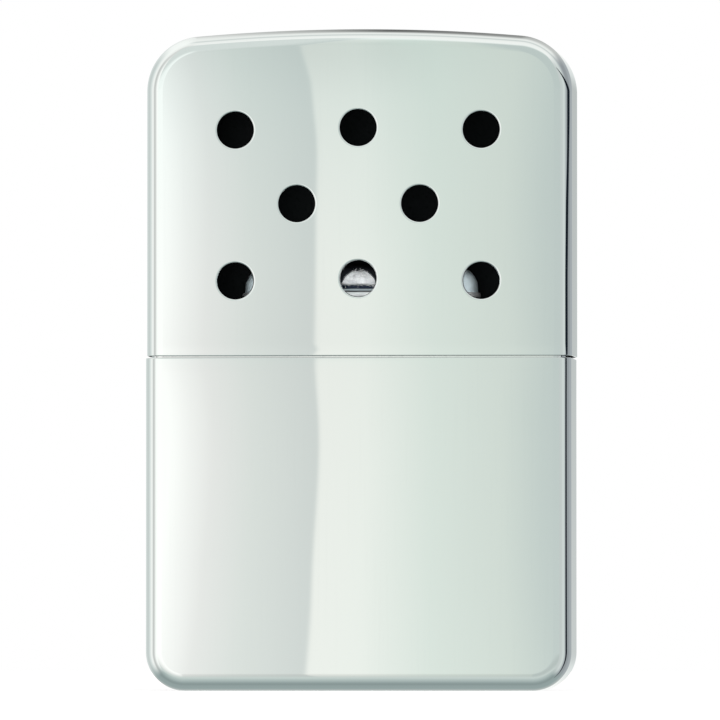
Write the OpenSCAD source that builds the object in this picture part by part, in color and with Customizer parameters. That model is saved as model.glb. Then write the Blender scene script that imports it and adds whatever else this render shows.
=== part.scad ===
// Catalytic hand warmer: a fuel tank packed with cotton, a burner that sits on
// its neck, and a vented lid that slides over a collar.
// X is the width, Y the thickness with the vented face towards -Y, Z the height.
// The origin is the middle of the foot.

/* [Case] */
// Width of the base across its side faces
case_w = 49.5; // [44:0.5:60]
// Thickness of the case from front to back
case_t = 14; // [13.5:0.5:18]
// Height of the closed case at the crest of the lid
case_h = 76.8; // [72:0.2:96]
// Height of the seam where the lid meets the base
seam_h = 38.8; // [36:0.2:44]
// Sheet thickness of the two drawn shells
shell_wall = 0.5; // [0.4:0.05:0.6]
// Radius of the edge that runs round each shell
edge_r = 2; // [1.8:0.1:2.4]
// Radius of the base's bottom corners, seen from the front
base_corner_r = 4.5; // [3.5:0.1:7]

/* [Lid] */
// Radius of the lid's top corners, seen from the front
lid_corner_r = 5.6; // [4:0.1:8]
// Radius of the shallow arch along the top of the lid
lid_arch_r = 221; // [120:1:400]
// How far the lid's sides stand in from the base's
lid_step = 0.06; // [0:0.01:0.1]
// Running gap between the lid and the collar
lid_clearance = 0.1; // [0.06:0.01:0.15]

/* [Vents] */
// Diameter of a vent
vent_d = 4.2; // [3:0.1:5.5]
// Sideways distance between vents of one row
vent_pitch_x = 14.3; // [10:0.1:16]
// Distance between rows of vents
vent_pitch_z = 8.8; // [7:0.1:10]
// Distance from the crest of the lid down to the top row
vent_drop = 11.5; // [9:0.1:13]

/* [Tank top] */
// Height of the collar above the seam
collar_rise = 6; // [5:0.1:6.5]
// Depth of the collar inside the base
collar_depth = 6.5; // [4:0.1:9]
// Sheet thickness of the collar and the deck
collar_wall = 0.4; // [0.3:0.05:0.5]
// Width of the collar's turned-in rim
rim_w = 0.9; // [0.5:0.1:1.2]
// Radius of the collar's top edge
rim_r = 0.5; // [0.2:0.05:0.6]
// Distance from the collar's rim down to the deck
deck_drop = 4.3; // [3:0.1:4.8]
// Height of the deck's soldered skirt
deck_skirt = 4.5; // [3:0.1:6]
// Gap that solder fills between two fixed sheets
solder_gap = 0.03; // [0.02:0.01:0.05]

/* [Fuel neck] */
// Length of the neck across the case
neck_l = 25.4; // [20:0.1:30]
// Breadth of the neck from front to back
neck_b = 7.4; // [6.4:0.1:7.8]
// Sheet thickness of the neck
neck_wall = 0.4; // [0.3:0.05:0.5]
// Height of the neck above the deck
neck_rise = 4.7; // [4.6:0.1:5.2]
// Depth of the neck below the deck
neck_depth = 3.6; // [2:0.1:5]
// Width of the neck's soldered flange
neck_flange = 0.8; // [0.5:0.1:1]
// Width of the strip that keeps the wick in the neck
bridge_w = 2.6; // [1.5:0.1:4]
// Thickness of that strip
bridge_wall = 0.3; // [0.2:0.05:0.4]
// Height of the strip's legs on the neck's walls
bridge_leg = 1.8; // [1:0.1:2.4]

/* [Packing] */
// Height of the joint between the two cotton pads
cotton_split_h = 17.5; // [12:0.5:24]
// Space left over the cotton, below the deck's skirt and the neck
cotton_drop = 2; // [1:0.1:4]
// Gap between the cotton and the tank
cotton_gap = 0.3; // [0.2:0.05:0.5]
// Gap between the wick pad and the neck
wick_gap = 0.1; // [0.05:0.05:0.3]

/* [Burner] */
// Running gap between the burner's skirt and the neck
skirt_clearance = 0.06; // [0.04:0.01:0.1]
// Sheet thickness of the skirt
skirt_wall = 0.4; // [0.3:0.05:0.5]
// Height of the burner's flange above the deck
flange_rise = 5.6; // [5.5:0.1:6]
// Thickness of the flange
flange_t = 0.4; // [0.3:0.05:0.5]
// How far the flange stands out round the cover
flange_lip = 0.3; // [0.1:0.05:0.4]
// Width of the ledge that the flange leaves inside the skirt
ledge_w = 1; // [0.7:0.1:1.2]
// How far the burner's cover stands out past the neck all round
cover_margin = 0.9; // [0.9:0.05:1.1]
// Height of the cover above the flange
cover_h = 3.3; // [3.1:0.1:4.5]
// Sheet thickness of the cover
cover_wall = 0.35; // [0.25:0.05:0.4]
// Radius of the cover's rounded top edge
cover_edge_r = 2.6; // [2:0.1:2.8]
// Number of windows along each side of the cover
window_count = 3; // [1:1:3]
// Radius of the windows' arched top
window_r = 2; // [1.5:0.1:2.2]
// Sideways distance between windows
window_pitch = 6.6; // [5.5:0.1:7]
// Height of the window sill above the flange
sill_h = 0.55; // [0.4:0.05:0.8]
// Height of the centre of the arch above the sill
arch_rise = 0.2; // [0.1:0.05:0.4]
// Distance from each end of the cover to the lighting slot in its top
slot_inset = 5.1; // [4.6:0.1:8]
// Breadth of the lighting slot
slot_b = 2; // [1:0.1:2.4]

/* [Catalyst] */
// Height of the mat's support above the flange
carrier_h = 1; // [0.8:0.05:1.2]
// Sheet thickness of the support
carrier_wall = 0.3; // [0.2:0.05:0.4]
// Distance from each end of the cover to the support
carrier_inset = 3.6; // [3.1:0.1:5]
// Distance from each side of the cover to the support
carrier_side = 1.3; // [1.1:0.05:1.4]
// Diameter of the holes in the support
carrier_hole_d = 1.2; // [0.8:0.1:1.4]
// Distance between those holes
carrier_pitch = 2; // [1.8:0.1:2.5]
// Number of holes along the support
carrier_cols = 8; // [3:1:8]
// Number of rows of holes
carrier_rows = 2; // [1:1:2]
// Gap between the mat and the cover
mat_gap = 0.15; // [0.1:0.05:0.3]

/* [Hidden] */
$fn = 64;
eps = 0.01;           // overlap that keeps joined shapes whole
through = 1;          // how far a cutter reaches past what it cuts
corner_fn = 96;       // facets round a corner of a shell
arch_fn = 3600;       // facets round the lid's very large arch circle
arch_root = 0.99;     // where the arch's cutter starts, as a share of its radius
arch_reach = 1.1;     // where it ends
rim_flats = 6;        // flats that round the arch's rim
shoulder_drop = 0.6;  // distance from the seam down to the collar's shoulder

half_w = case_w / 2;
half_t = case_t / 2;

// Insets from the base's outer face to each sheet's faces
lid_inner_d = lid_step + shell_wall;
collar_d = lid_inner_d + lid_clearance;
sleeve_d = shell_wall + solder_gap;
deck_d = collar_d + collar_wall + solder_gap;

// Heights
collar_top = seam_h + collar_rise;
collar_foot = seam_h - collar_depth;
collar_step = seam_h - shoulder_drop;
deck_top = collar_top - deck_drop;
deck_under = deck_top - collar_wall;
neck_top = deck_top + neck_rise;
neck_foot = deck_top - neck_depth;
flange_top = deck_top + flange_rise;
flange_under = flange_top - flange_t;
cover_top = flange_top + cover_h;
cotton_top = deck_top - max(deck_skirt, neck_depth) - cotton_drop;
carrier_top = flange_top + carrier_h;
bridge_z = deck_top;

// Plan sizes of the burner's parts
skirt_l = neck_l + 2 * (skirt_clearance + skirt_wall);
skirt_b = neck_b + 2 * (skirt_clearance + skirt_wall);
cover_l = neck_l + 2 * cover_margin;
cover_b = neck_b + 2 * cover_margin;
slot_l = cover_l - 2 * slot_inset;
carrier_l = cover_l - 2 * carrier_inset;
carrier_b = cover_b - 2 * carrier_side;
flange_l = cover_l + 2 * flange_lip;
flange_b = cover_b + 2 * flange_lip;
ledge_l = skirt_l - 2 * (skirt_wall + ledge_w);
ledge_b = skirt_b - 2 * (skirt_wall + ledge_w);

// The lid's corner circles touch its sides and its arch from the inside
lid_corner_x = half_w - lid_corner_r;
arch_z = case_h + lid_step - lid_arch_r;
lid_corner_z = arch_z + sqrt(pow(lid_arch_r - lid_corner_r, 2) - pow(lid_corner_x, 2));
base_corner_x = half_w - base_corner_r;

chrome = [0.85, 0.87, 0.86];
nickel = [0.74, 0.75, 0.74];
steel = [0.62, 0.63, 0.64];
cotton = [0.95, 0.94, 0.90];
felt = [0.90, 0.88, 0.82];
glass_fibre = [0.93, 0.94, 0.95];

// Rectangle with rounded corners, in the XY plane
module rounded_rect(l, b, r) {
    square([l - 2 * r, b], center = true);
    square([l, b - 2 * r], center = true);
    for (x = [-1, 1], y = [-1, 1])
        translate([x * (l / 2 - r), y * (b / 2 - r)]) circle(r);
}

// Oblong with half-round ends, in the XY plane
module oblong(l, b) {
    square([l - b, b], center = true);
    for (x = [-1, 1]) translate([x * (l - b) / 2, 0]) circle(b / 2);
}

// Section of a block of breadth b whose upper edges are rounded by e
module soft_section(b, h, e) {
    translate([-b / 2, 0]) square([b, h - e]);
    translate([e - b / 2, 0]) square([b - 2 * e, h]);
    for (x = [-1, 1]) translate([x * (b / 2 - e), h - e]) intersection() {
        circle(e);
        translate([-e, 0]) square([2 * e, e]);
    }
}

// Straight part of the case, d inside its outer face
module case_prism(d, z0, z1) {
    translate([0, 0, z0]) linear_extrude(z1 - z0)
        rounded_rect(case_w - 2 * d, case_t - 2 * d, edge_r - d);
}

// Bar of length l along X with rounded upper edges, d inside the outer face
module case_bar(d, l, h) {
    rotate([90, 0, 90]) linear_extrude(l, center = true)
        soft_section(case_t - 2 * d, h - d, edge_r - d);
}

// Disc that stands on its edge and has a rounded rim, d inside the outer face
module edge_disc(r, d) {
    rotate([90, 0, 0]) rotate_extrude($fn = corner_fn) {
        translate([0, d - half_t]) square([r - edge_r, case_t - 2 * d]);
        translate([0, edge_r - half_t]) square([r - d, case_t - 2 * edge_r]);
        for (y = [-1, 1]) translate([r - edge_r, y * (half_t - edge_r)])
            intersection() {
                circle(edge_r - d);
                translate([0, -edge_r]) square(2 * edge_r);
            }
    }
}

// The base's form up to a height, d inside its outer face
module base_form(d, top) {
    case_prism(d, base_corner_r, top);
    translate([0, 0, base_corner_r]) mirror([0, 0, 1])
        case_bar(d, 2 * base_corner_x, base_corner_r);
    for (x = [-1, 1]) translate([x * base_corner_x, 0, base_corner_r])
        edge_disc(base_corner_r, d);
}

// Section of half a disc of radius r, to be turned about its axis: its rim is a row
// of flats that follow the edge's rounding, d inside the outer face
module flat_rim(r, d) {
    e = edge_r - d;
    polygon(concat(
        [[0, d - half_t], [0, half_t - d]],
        [for (k = [0 : rim_flats]) let (a = 90 - k * 90 / rim_flats)
            [r - edge_r + e * cos(a), half_t - edge_r + e * sin(a)]],
        [for (k = [0 : rim_flats]) let (a = k * 90 / rim_flats)
            [r - edge_r + e * cos(a), edge_r - half_t - e * sin(a)]]));
}

// The lid's arch, d inside the outer face
module lid_arch(d) {
    corner = [lid_corner_x, lid_corner_z - arch_z];
    mirrored = [-corner.x, corner.y];
    translate([0, 0, arch_z]) intersection() {
        rotate([90, 0, 0]) rotate_extrude($fn = arch_fn) flat_rim(lid_arch_r, d);
        rotate([90, 0, 0]) linear_extrude(case_t + 2 * through, center = true)
            polygon([corner * arch_root, corner * arch_reach,
                     mirrored * arch_reach, mirrored * arch_root]);
    }
}

// The lid's form from a height up, d inside the base's outer face
module lid_form(d, foot) {
    case_prism(d, foot, lid_corner_z);
    for (x = [-1, 1]) translate([x * lid_corner_x, 0, lid_corner_z])
        edge_disc(lid_corner_r, d);
    lid_arch(d);
}

// Round post of radius r whose top edge is rounded by e
module soft_post(r, h, e) {
    rotate_extrude() {
        square([r, h - e]);
        square([r - e, h]);
        translate([r - e, h - e]) intersection() {
            circle(e);
            square(e);
        }
    }
}

// Block on a rounded rectangle, with its top edge rounded by e
module soft_block(l, b, r, h, e) {
    linear_extrude(h - e) rounded_rect(l, b, r);
    rotate([90, 0, 90]) linear_extrude(l - 2 * r, center = true) soft_section(b, h, e);
    rotate([90, 0, 0]) linear_extrude(b - 2 * r, center = true) soft_section(l, h, e);
    for (x = [-1, 1], y = [-1, 1]) translate([x * (l / 2 - r), y * (b / 2 - r), 0])
        soft_post(r, h, e);
}

// Oblong block with its top edge rounded by e, as the burner's cover is
module loaf(l, b, h, e) {
    straight = l - b;
    for (x = [-1, 1]) translate([x * straight / 2, 0, 0]) soft_post(b / 2, h, e);
    rotate([90, 0, 90]) linear_extrude(straight, center = true) soft_section(b, h, e);
}

// Places one vent cutter at each vent: rows of three, two and three
module at_vents() {
    for (row = [0 : 2])
        for (col = row == 1 ? [-0.5, 0.5] : [-1, 0, 1])
            translate([col * vent_pitch_x, 0, case_h - vent_drop - row * vent_pitch_z])
                children();
}

module base_shell() {
    color(chrome) difference() {
        base_form(0, seam_h);
        base_form(shell_wall, seam_h + through);
    }
}

module inner_collar() {
    color(chrome) difference() {
        union() {
            case_prism(sleeve_d, collar_foot, collar_step);
            translate([0, 0, collar_foot])
                soft_block(case_w - 2 * collar_d, case_t - 2 * collar_d, edge_r - collar_d,
                           collar_top - collar_foot, rim_r);
        }
        case_prism(sleeve_d + collar_wall, collar_foot - through,
                   collar_step - collar_wall);
        case_prism(collar_d + collar_wall, collar_foot - through,
                   collar_top - collar_wall);
        case_prism(collar_d + rim_w, collar_foot - through, collar_top + through);
    }
}

module tank_deck() {
    color(nickel) difference() {
        case_prism(deck_d, deck_top - deck_skirt, deck_top);
        case_prism(deck_d + collar_wall, deck_top - deck_skirt - through, deck_under);
        translate([0, 0, deck_under - through]) linear_extrude(collar_wall + 2 * through)
            oblong(neck_l + 2 * solder_gap, neck_b + 2 * solder_gap);
    }
}

module fuel_neck() {
    color(nickel) difference() {
        union() {
            translate([0, 0, neck_foot]) linear_extrude(neck_top - neck_foot)
                oblong(neck_l, neck_b);
            translate([0, 0, deck_under - neck_wall]) linear_extrude(neck_wall)
                oblong(neck_l + 2 * neck_flange, neck_b + 2 * neck_flange);
        }
        translate([0, 0, neck_foot - through]) linear_extrude(neck_top - neck_foot + 2 * through)
            oblong(neck_l - 2 * neck_wall, neck_b - 2 * neck_wall);
    }
}

module neck_bridge() {
    span = neck_b - 2 * neck_wall;
    color(steel) translate([0, 0, bridge_z]) difference() {
        translate([-bridge_w / 2, -span / 2, 0]) cube([bridge_w, span, bridge_leg]);
        translate([-bridge_w / 2 - through, bridge_wall - span / 2, bridge_wall])
            cube([bridge_w + 2 * through, span - 2 * bridge_wall, bridge_leg]);
    }
}

module wick_pad() {
    inset = 2 * (neck_wall + wick_gap);
    color(felt) translate([0, 0, cotton_top]) linear_extrude(bridge_z - cotton_top)
        oblong(neck_l - inset, neck_b - inset);
}

module cotton_form() {
    inset = sleeve_d + collar_wall + cotton_gap;
    base_form(inset, cotton_top);
}

module cotton_lower() {
    color(cotton) intersection() {
        cotton_form();
        translate([-case_w, -case_t, 0]) cube([2 * case_w, 2 * case_t, cotton_split_h]);
    }
}

module cotton_upper() {
    color(cotton) intersection() {
        cotton_form();
        translate([-case_w, -case_t, cotton_split_h])
            cube([2 * case_w, 2 * case_t, cotton_top - cotton_split_h]);
    }
}

module burner_skirt() {
    color(nickel) difference() {
        union() {
            translate([0, 0, deck_top]) linear_extrude(flange_top - deck_top)
                oblong(skirt_l, skirt_b);
            translate([0, 0, flange_under]) linear_extrude(flange_t)
                oblong(flange_l, flange_b);
        }
        translate([0, 0, deck_top - through]) linear_extrude(flange_under - deck_top + through)
            oblong(skirt_l - 2 * skirt_wall, skirt_b - 2 * skirt_wall);
        translate([0, 0, flange_under - eps]) linear_extrude(flange_t + through)
            oblong(ledge_l, ledge_b);
    }
}

module burner_cover() {
    first = -(window_count - 1) * window_pitch / 2;
    color(nickel) difference() {
        translate([0, 0, flange_top]) loaf(cover_l, cover_b, cover_h, cover_edge_r);
        translate([0, 0, flange_top - eps])
            loaf(cover_l - 2 * cover_wall, cover_b - 2 * cover_wall,
                 cover_h - cover_wall + eps, cover_edge_r - cover_wall);
        for (i = [0 : window_count - 1])
            translate([first + i * window_pitch, 0, flange_top + sill_h])
                rotate([90, 0, 0]) linear_extrude(cover_b + 2 * through, center = true)
                    intersection() {
                        translate([0, arch_rise]) circle(window_r);
                        translate([-window_r, 0]) square(2 * window_r);
                    }
        translate([0, 0, cover_top - cover_wall - through])
            linear_extrude(cover_wall + 2 * through) oblong(slot_l, slot_b);
    }
}

module mat_carrier() {
    foot_h = carrier_h - carrier_wall;
    color(steel) translate([0, 0, flange_top]) difference() {
        translate([-carrier_l / 2, -carrier_b / 2, 0]) cube([carrier_l, carrier_b, carrier_h]);
        translate([-carrier_l / 2 - through, carrier_wall - carrier_b / 2, -through])
            cube([carrier_l + 2 * through, carrier_b - 2 * carrier_wall, foot_h + through]);
        for (col = [0 : carrier_cols - 1], row = [0 : carrier_rows - 1])
            translate([(col - (carrier_cols - 1) / 2) * carrier_pitch,
                       (row - (carrier_rows - 1) / 2) * carrier_pitch, 0])
                cylinder(d = carrier_hole_d, h = carrier_h + through);
    }
}

module catalyst_mat() {
    inset = cover_wall + mat_gap;
    color(glass_fibre) intersection() {
        translate([0, 0, flange_top])
            loaf(cover_l - 2 * inset, cover_b - 2 * inset, cover_h - inset, cover_edge_r - inset);
        translate([-cover_l, -cover_b, carrier_top])
            cube([2 * cover_l, 2 * cover_b, cover_h]);
    }
}

module lid_shell() {
    color(chrome) difference() {
        lid_form(lid_step, seam_h);
        lid_form(lid_inner_d, seam_h - through);
        at_vents() rotate([90, 0, 0]) cylinder(d = vent_d, h = half_t + through);
    }
}

base_shell();
inner_collar();
tank_deck();
fuel_neck();
neck_bridge();
wick_pad();
cotton_lower();
cotton_upper();
burner_skirt();
burner_cover();
mat_carrier();
catalyst_mat();
lid_shell();
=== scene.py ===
"""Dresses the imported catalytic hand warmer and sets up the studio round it.

Lengths are in millimetres in the classes' fields and become metres when a mesh is made.
X is the width, Y the thickness with the vented face towards -Y, and Z the height.
"""

from __future__ import annotations

import logging
import math
from dataclasses import dataclass
from dataclasses import field
from enum import Enum
from typing import Callable
from typing import Sequence

import bmesh
import bpy
import numpy as np
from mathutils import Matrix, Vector
from mathutils.geometry import delaunay_2d_cdt

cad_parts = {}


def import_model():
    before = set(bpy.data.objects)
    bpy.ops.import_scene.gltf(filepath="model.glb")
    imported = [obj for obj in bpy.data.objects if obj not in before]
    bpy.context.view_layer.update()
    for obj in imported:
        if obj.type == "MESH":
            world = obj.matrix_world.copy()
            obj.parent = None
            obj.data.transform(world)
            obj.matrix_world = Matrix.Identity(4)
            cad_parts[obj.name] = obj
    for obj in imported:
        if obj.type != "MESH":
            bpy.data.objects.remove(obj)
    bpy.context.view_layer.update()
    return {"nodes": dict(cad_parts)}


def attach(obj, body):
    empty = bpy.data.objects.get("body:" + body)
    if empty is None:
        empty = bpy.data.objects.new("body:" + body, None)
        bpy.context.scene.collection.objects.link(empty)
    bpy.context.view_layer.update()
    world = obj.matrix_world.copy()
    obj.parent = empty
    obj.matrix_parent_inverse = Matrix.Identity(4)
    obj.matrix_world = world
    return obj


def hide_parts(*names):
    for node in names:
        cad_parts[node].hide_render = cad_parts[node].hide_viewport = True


LOG = logging.getLogger("hand_warmer")
MM = 0.001
QUARTER = math.pi / 2
POINT_DIGITS = 5

Colour = tuple[float, float, float]
Flat = tuple[float, float]
FlatPoint = tuple[float, float, int]
Lift = Callable[[float, float], tuple[Vector, Vector]]


def linked(name: str, data: bpy.types.ID) -> bpy.types.Object:
    """Makes an object of some data and puts it in the scene.

    Args:
        name: Its name.
        data: A mesh, a camera or a lamp.

    Returns:
        The object, at the origin.
    """
    made = bpy.data.objects.new(name, data)
    bpy.context.scene.collection.objects.link(made)
    return made


# ---------------------------------------------------------------- meshes


@dataclass
class Skin:
    """A closed surface in the making, whose points carry their own normals."""

    places: list[Vector] = field(default_factory=list)
    normals: list[Vector] = field(default_factory=list)
    faces: list[tuple[int, ...]] = field(default_factory=list)
    inks: list[int] = field(default_factory=list)
    marks: list[float] = field(default_factory=list)
    known: dict[tuple[float, ...], int] = field(default_factory=dict)

    def point(self, place: Vector, normal: Vector, mark: float = 0.0) -> int:
        """Adds a point, or finds the one that is there already.

        Args:
            place: The point, in millimetres.
            normal: The surface's outward direction there.
            mark: How much of an edge the point is, from 0 to 1.

        Returns:
            The point's number.
        """
        key = tuple(round(c, POINT_DIGITS) for c in place)
        if key not in self.known:
            self.known[key] = len(self.places)
            self.places.append(Vector(place))
            self.normals.append(Vector(normal).normalized())
            self.marks.append(mark)
        return self.known[key]

    def face(self, corners: Sequence[int], ink: int = 0) -> None:
        """Adds a face, turned to agree with the normals of its corners.

        Args:
            corners: Point numbers in order round the face.
            ink: Number of the finish on it.
        """
        ring = [c for i, c in enumerate(corners) if c != corners[i - 1]]
        if len(set(ring)) < 3:
            return
        turn = Vector((0, 0, 0))
        for i, c in enumerate(ring):
            turn += self.places[c].cross(self.places[ring[(i + 1) % len(ring)]])
        lean = sum((self.normals[c] for c in ring), Vector((0, 0, 0)))
        if turn.dot(lean) < 0:
            ring.reverse()
        self.faces.append(tuple(ring))
        self.inks.append(ink)

    def strip(self, first: Sequence[int], second: Sequence[int], closed: bool = False, ink: int = 0) -> None:
        """Joins two rows of as many points with four-sided faces.

        Args:
            first: One row of point numbers.
            second: The other row.
            closed: Whether the rows are rings.
            ink: Number of the finish.
        """
        last = len(first) if closed else len(first) - 1
        for i in range(last):
            j = (i + 1) % len(first)
            self.face((first[i], first[j], second[j], second[i]), ink)

    def rows(self, grid: Sequence[Sequence[int]], closed: bool = False, ink: int = 0) -> None:
        """Joins each row of a grid to the next."""
        for first, second in zip(grid[:-1], grid[1:]):
            self.strip(first, second, closed, ink)

    def fill(
        self,
        outer: Sequence[FlatPoint],
        holes: Sequence[Sequence[FlatPoint]],
        inner: Sequence[Flat],
        lift: Lift,
        ink: int = 0,
    ) -> None:
        """Fills a flat region with triangles and lifts it on to the surface.

        Args:
            outer: The region's outline, as flat places with point numbers.
            holes: Outlines of the holes in it.
            inner: Flat places inside it that the triangles also use.
            lift: Turns a flat place into a point and its normal.
            ink: Number of the finish.
        """
        flat: list[Vector] = []
        numbers: list[int] = []
        edges: list[tuple[int, int]] = []
        for loop in (outer, *holes):
            start = len(flat)
            for i, (u, v, number) in enumerate(loop):
                flat.append(Vector((u, v)))
                numbers.append(number)
                edges.append((start + i, start + (i + 1) % len(loop)))
        for u, v in inner:
            flat.append(Vector((u, v)))
            numbers.append(self.point(*lift(u, v)))
        made, _, triangles, origins, _, _ = delaunay_2d_cdt(flat, edges, [], 1, 1e-7)
        for triangle in triangles:
            middle = sum((made[i] for i in triangle), Vector((0, 0))) / len(triangle)
            if any(inside(middle, hole) for hole in holes):
                continue
            self.face([numbers[origins[i][0]] for i in triangle], ink)

    def lip(
        self,
        first: Sequence[int],
        second: Sequence[int],
        towards: Sequence[Vector],
        radius: float,
        steps: int = 4,
        inks: tuple[int, int] = (0, 0),
    ) -> None:
        """Joins the edges of an outer and an inner surface with a rounded lip.

        Args:
            first: Ring of points on the outer surface's edge.
            second: Ring of as many points on the inner surface's edge.
            towards: For each point, the direction in which the sheet ends.
            radius: Radius of both rounded edges.
            steps: Steps round each edge.
            inks: Finishes of the outer and the inner half.
        """
        ends = []
        for ring, ink in ((first, inks[0]), (second, inks[1])):
            row = list(ring)
            for k in range(1, steps + 1):
                angle = QUARTER * k / steps
                fresh = []
                for number, way in zip(ring, towards):
                    place, normal = self.places[number], self.normals[number]
                    level = (normal - way * normal.dot(way)).normalized()
                    fresh.append(
                        self.point(
                            place - level * radius * (1 - math.cos(angle)) + way * radius * math.sin(angle),
                            level * math.cos(angle) + way * math.sin(angle),
                            1.0,
                        )
                    )
                self.strip(row, fresh, True, ink)
                row = fresh
            ends.append(row)
        self.strip(ends[0], ends[1], True, inks[1])

    def made(self, name: str, finishes: Sequence[bpy.types.Material]) -> bpy.types.Object:
        """Makes the mesh object, in metres.

        Args:
            name: Name of the piece.
            finishes: Its finishes, in the order of the faces' ink numbers.

        Returns:
            The object, at the origin.
        """
        mesh = bpy.data.meshes.new(name)
        mesh.from_pydata([p * MM for p in self.places], [], self.faces)
        mesh.polygons.foreach_set("use_smooth", [True] * len(self.faces))
        mesh.polygons.foreach_set("material_index", self.inks)
        for finish in finishes:
            mesh.materials.append(finish)
        mark = mesh.attributes.new("edge", "FLOAT", "POINT")
        mark.data.foreach_set("value", self.marks)
        mesh.normals_split_custom_set_from_vertices([tuple(n) for n in self.normals])
        mesh.update()
        return linked(name, mesh)


def inside(place: Vector, loop: Sequence[FlatPoint]) -> bool:
    """Whether a flat place lies inside a closed outline.

    Args:
        place: The place.
        loop: The outline.

    Returns:
        True where it lies inside.
    """
    found = False
    for i, (u, v, _) in enumerate(loop):
        u2, v2, _ = loop[i - 1]
        if (v > place.y) != (v2 > place.y) and place.x < (u2 - u) * (place.y - v) / (v2 - v) + u:
            found = not found
    return found


@dataclass(frozen=True)
class PathPoint:
    """A point of a path in the XY plane, with its outward direction."""

    x: float
    y: float
    nx: float
    ny: float


def oblong_path(straight: float, turns: int = 48, along: int = 24) -> list[PathPoint]:
    """A closed path round a straight line: a section swept along it makes an oblong ring.

    Args:
        straight: Length of the straight line.
        turns: Steps round each end.
        along: Steps along each side.

    Returns:
        The path, anticlockwise from above.
    """
    half = straight / 2
    path = []
    for end in (1, -1):
        for k in range(turns + 1):
            angle = -QUARTER + math.pi * k / turns + (0 if end == 1 else math.pi)
            path.append(PathPoint(end * half, 0, math.cos(angle), math.sin(angle)))
        for k in range(1, along):
            path.append(PathPoint(end * half - end * straight * k / along, 0, 0, end))
    return path


def case_path(
    half_width: float, half_depth: float, corner: float, turns: int = 12, along: int = 24
) -> list[PathPoint]:
    """A closed path round the case as seen from above.

    Args:
        half_width: Half the case's width.
        half_depth: Half its thickness.
        corner: Radius of its upright edges.
        turns: Steps round each corner.
        along: Steps along each side.

    Returns:
        The path, anticlockwise from above.
    """
    path = []
    x, y = half_width - corner, half_depth - corner
    centres = [(x, -y), (x, y), (-x, y), (-x, -y)]
    for i, (cx, cy) in enumerate(centres):
        start = -QUARTER + i * QUARTER
        for k in range(turns + 1):
            angle = start + QUARTER * k / turns
            nx, ny = math.cos(angle), math.sin(angle)
            path.append(PathPoint(cx + corner * nx, cy + corner * ny, nx, ny))
        fx, fy = centres[(i + 1) % 4]
        nx, ny = math.cos(start + QUARTER), math.sin(start + QUARTER)
        for k in range(1, along):
            share = k / along
            mx, my = cx + (fx - cx) * share, cy + (fy - cy) * share
            path.append(PathPoint(mx + corner * nx, my + corner * ny, nx, ny))
    return path


def softened(corners: Sequence[Flat], radius: float, steps: int = 4) -> list[tuple[float, ...]]:
    """Rounds the corners of a closed section.

    Args:
        corners: The section's corners, anticlockwise, as (outward, up).
        radius: Radius of the rounding, less where the sides are short.
        steps: Steps round each corner.

    Returns:
        Points as (outward, up, outward part of the normal, upward part).
    """
    made = []
    count = len(corners)
    for i in range(count):
        before, here, after = (Vector(corners[(i + k) % count]) for k in (-1, 0, 1))
        way_in, way_out = (here - before), (after - here)
        room = 0.49 * min(way_in.length, way_out.length)
        way_in.normalize()
        way_out.normalize()
        turn = math.atan2(way_in.x * way_out.y - way_in.y * way_out.x, way_in.dot(way_out))
        reach = min(room, radius * abs(math.tan(turn / 2)))
        bend = reach / max(1e-9, abs(math.tan(turn / 2)))
        side = 1 if turn > 0 else -1
        normal_in = Vector((way_in.y, -way_in.x))
        centre = here - way_in * reach - normal_in * side * bend
        for k in range(steps + 1):
            angle = turn * k / steps
            normal = Vector(
                (
                    normal_in.x * math.cos(angle) - normal_in.y * math.sin(angle),
                    normal_in.x * math.sin(angle) + normal_in.y * math.cos(angle),
                )
            )
            place = centre + normal * side * bend
            made.append((place.x, place.y, normal.x, normal.y))
    return made


def swept(path: Sequence[PathPoint], section: Sequence[tuple[float, ...]]) -> Skin:
    """Sweeps a closed section round a closed path.

    Args:
        path: The path; a section's outward distance is measured from it.
        section: Points as `softened` gives them.

    Returns:
        The closed ring.
    """
    skin = Skin()
    grid = []
    for p in path:
        ring = []
        for out, z, lean, rise in section:
            place = Vector((p.x + p.nx * out, p.y + p.ny * out, z))
            ring.append(skin.point(place, Vector((p.nx * lean, p.ny * lean, rise))))
        grid.append(ring)
    grid.append(grid[0])
    columns = list(zip(*grid))
    columns.append(columns[0])
    skin.rows([list(c) for c in columns])
    return skin


# ---------------------------------------------------------------- shader maths


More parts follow.
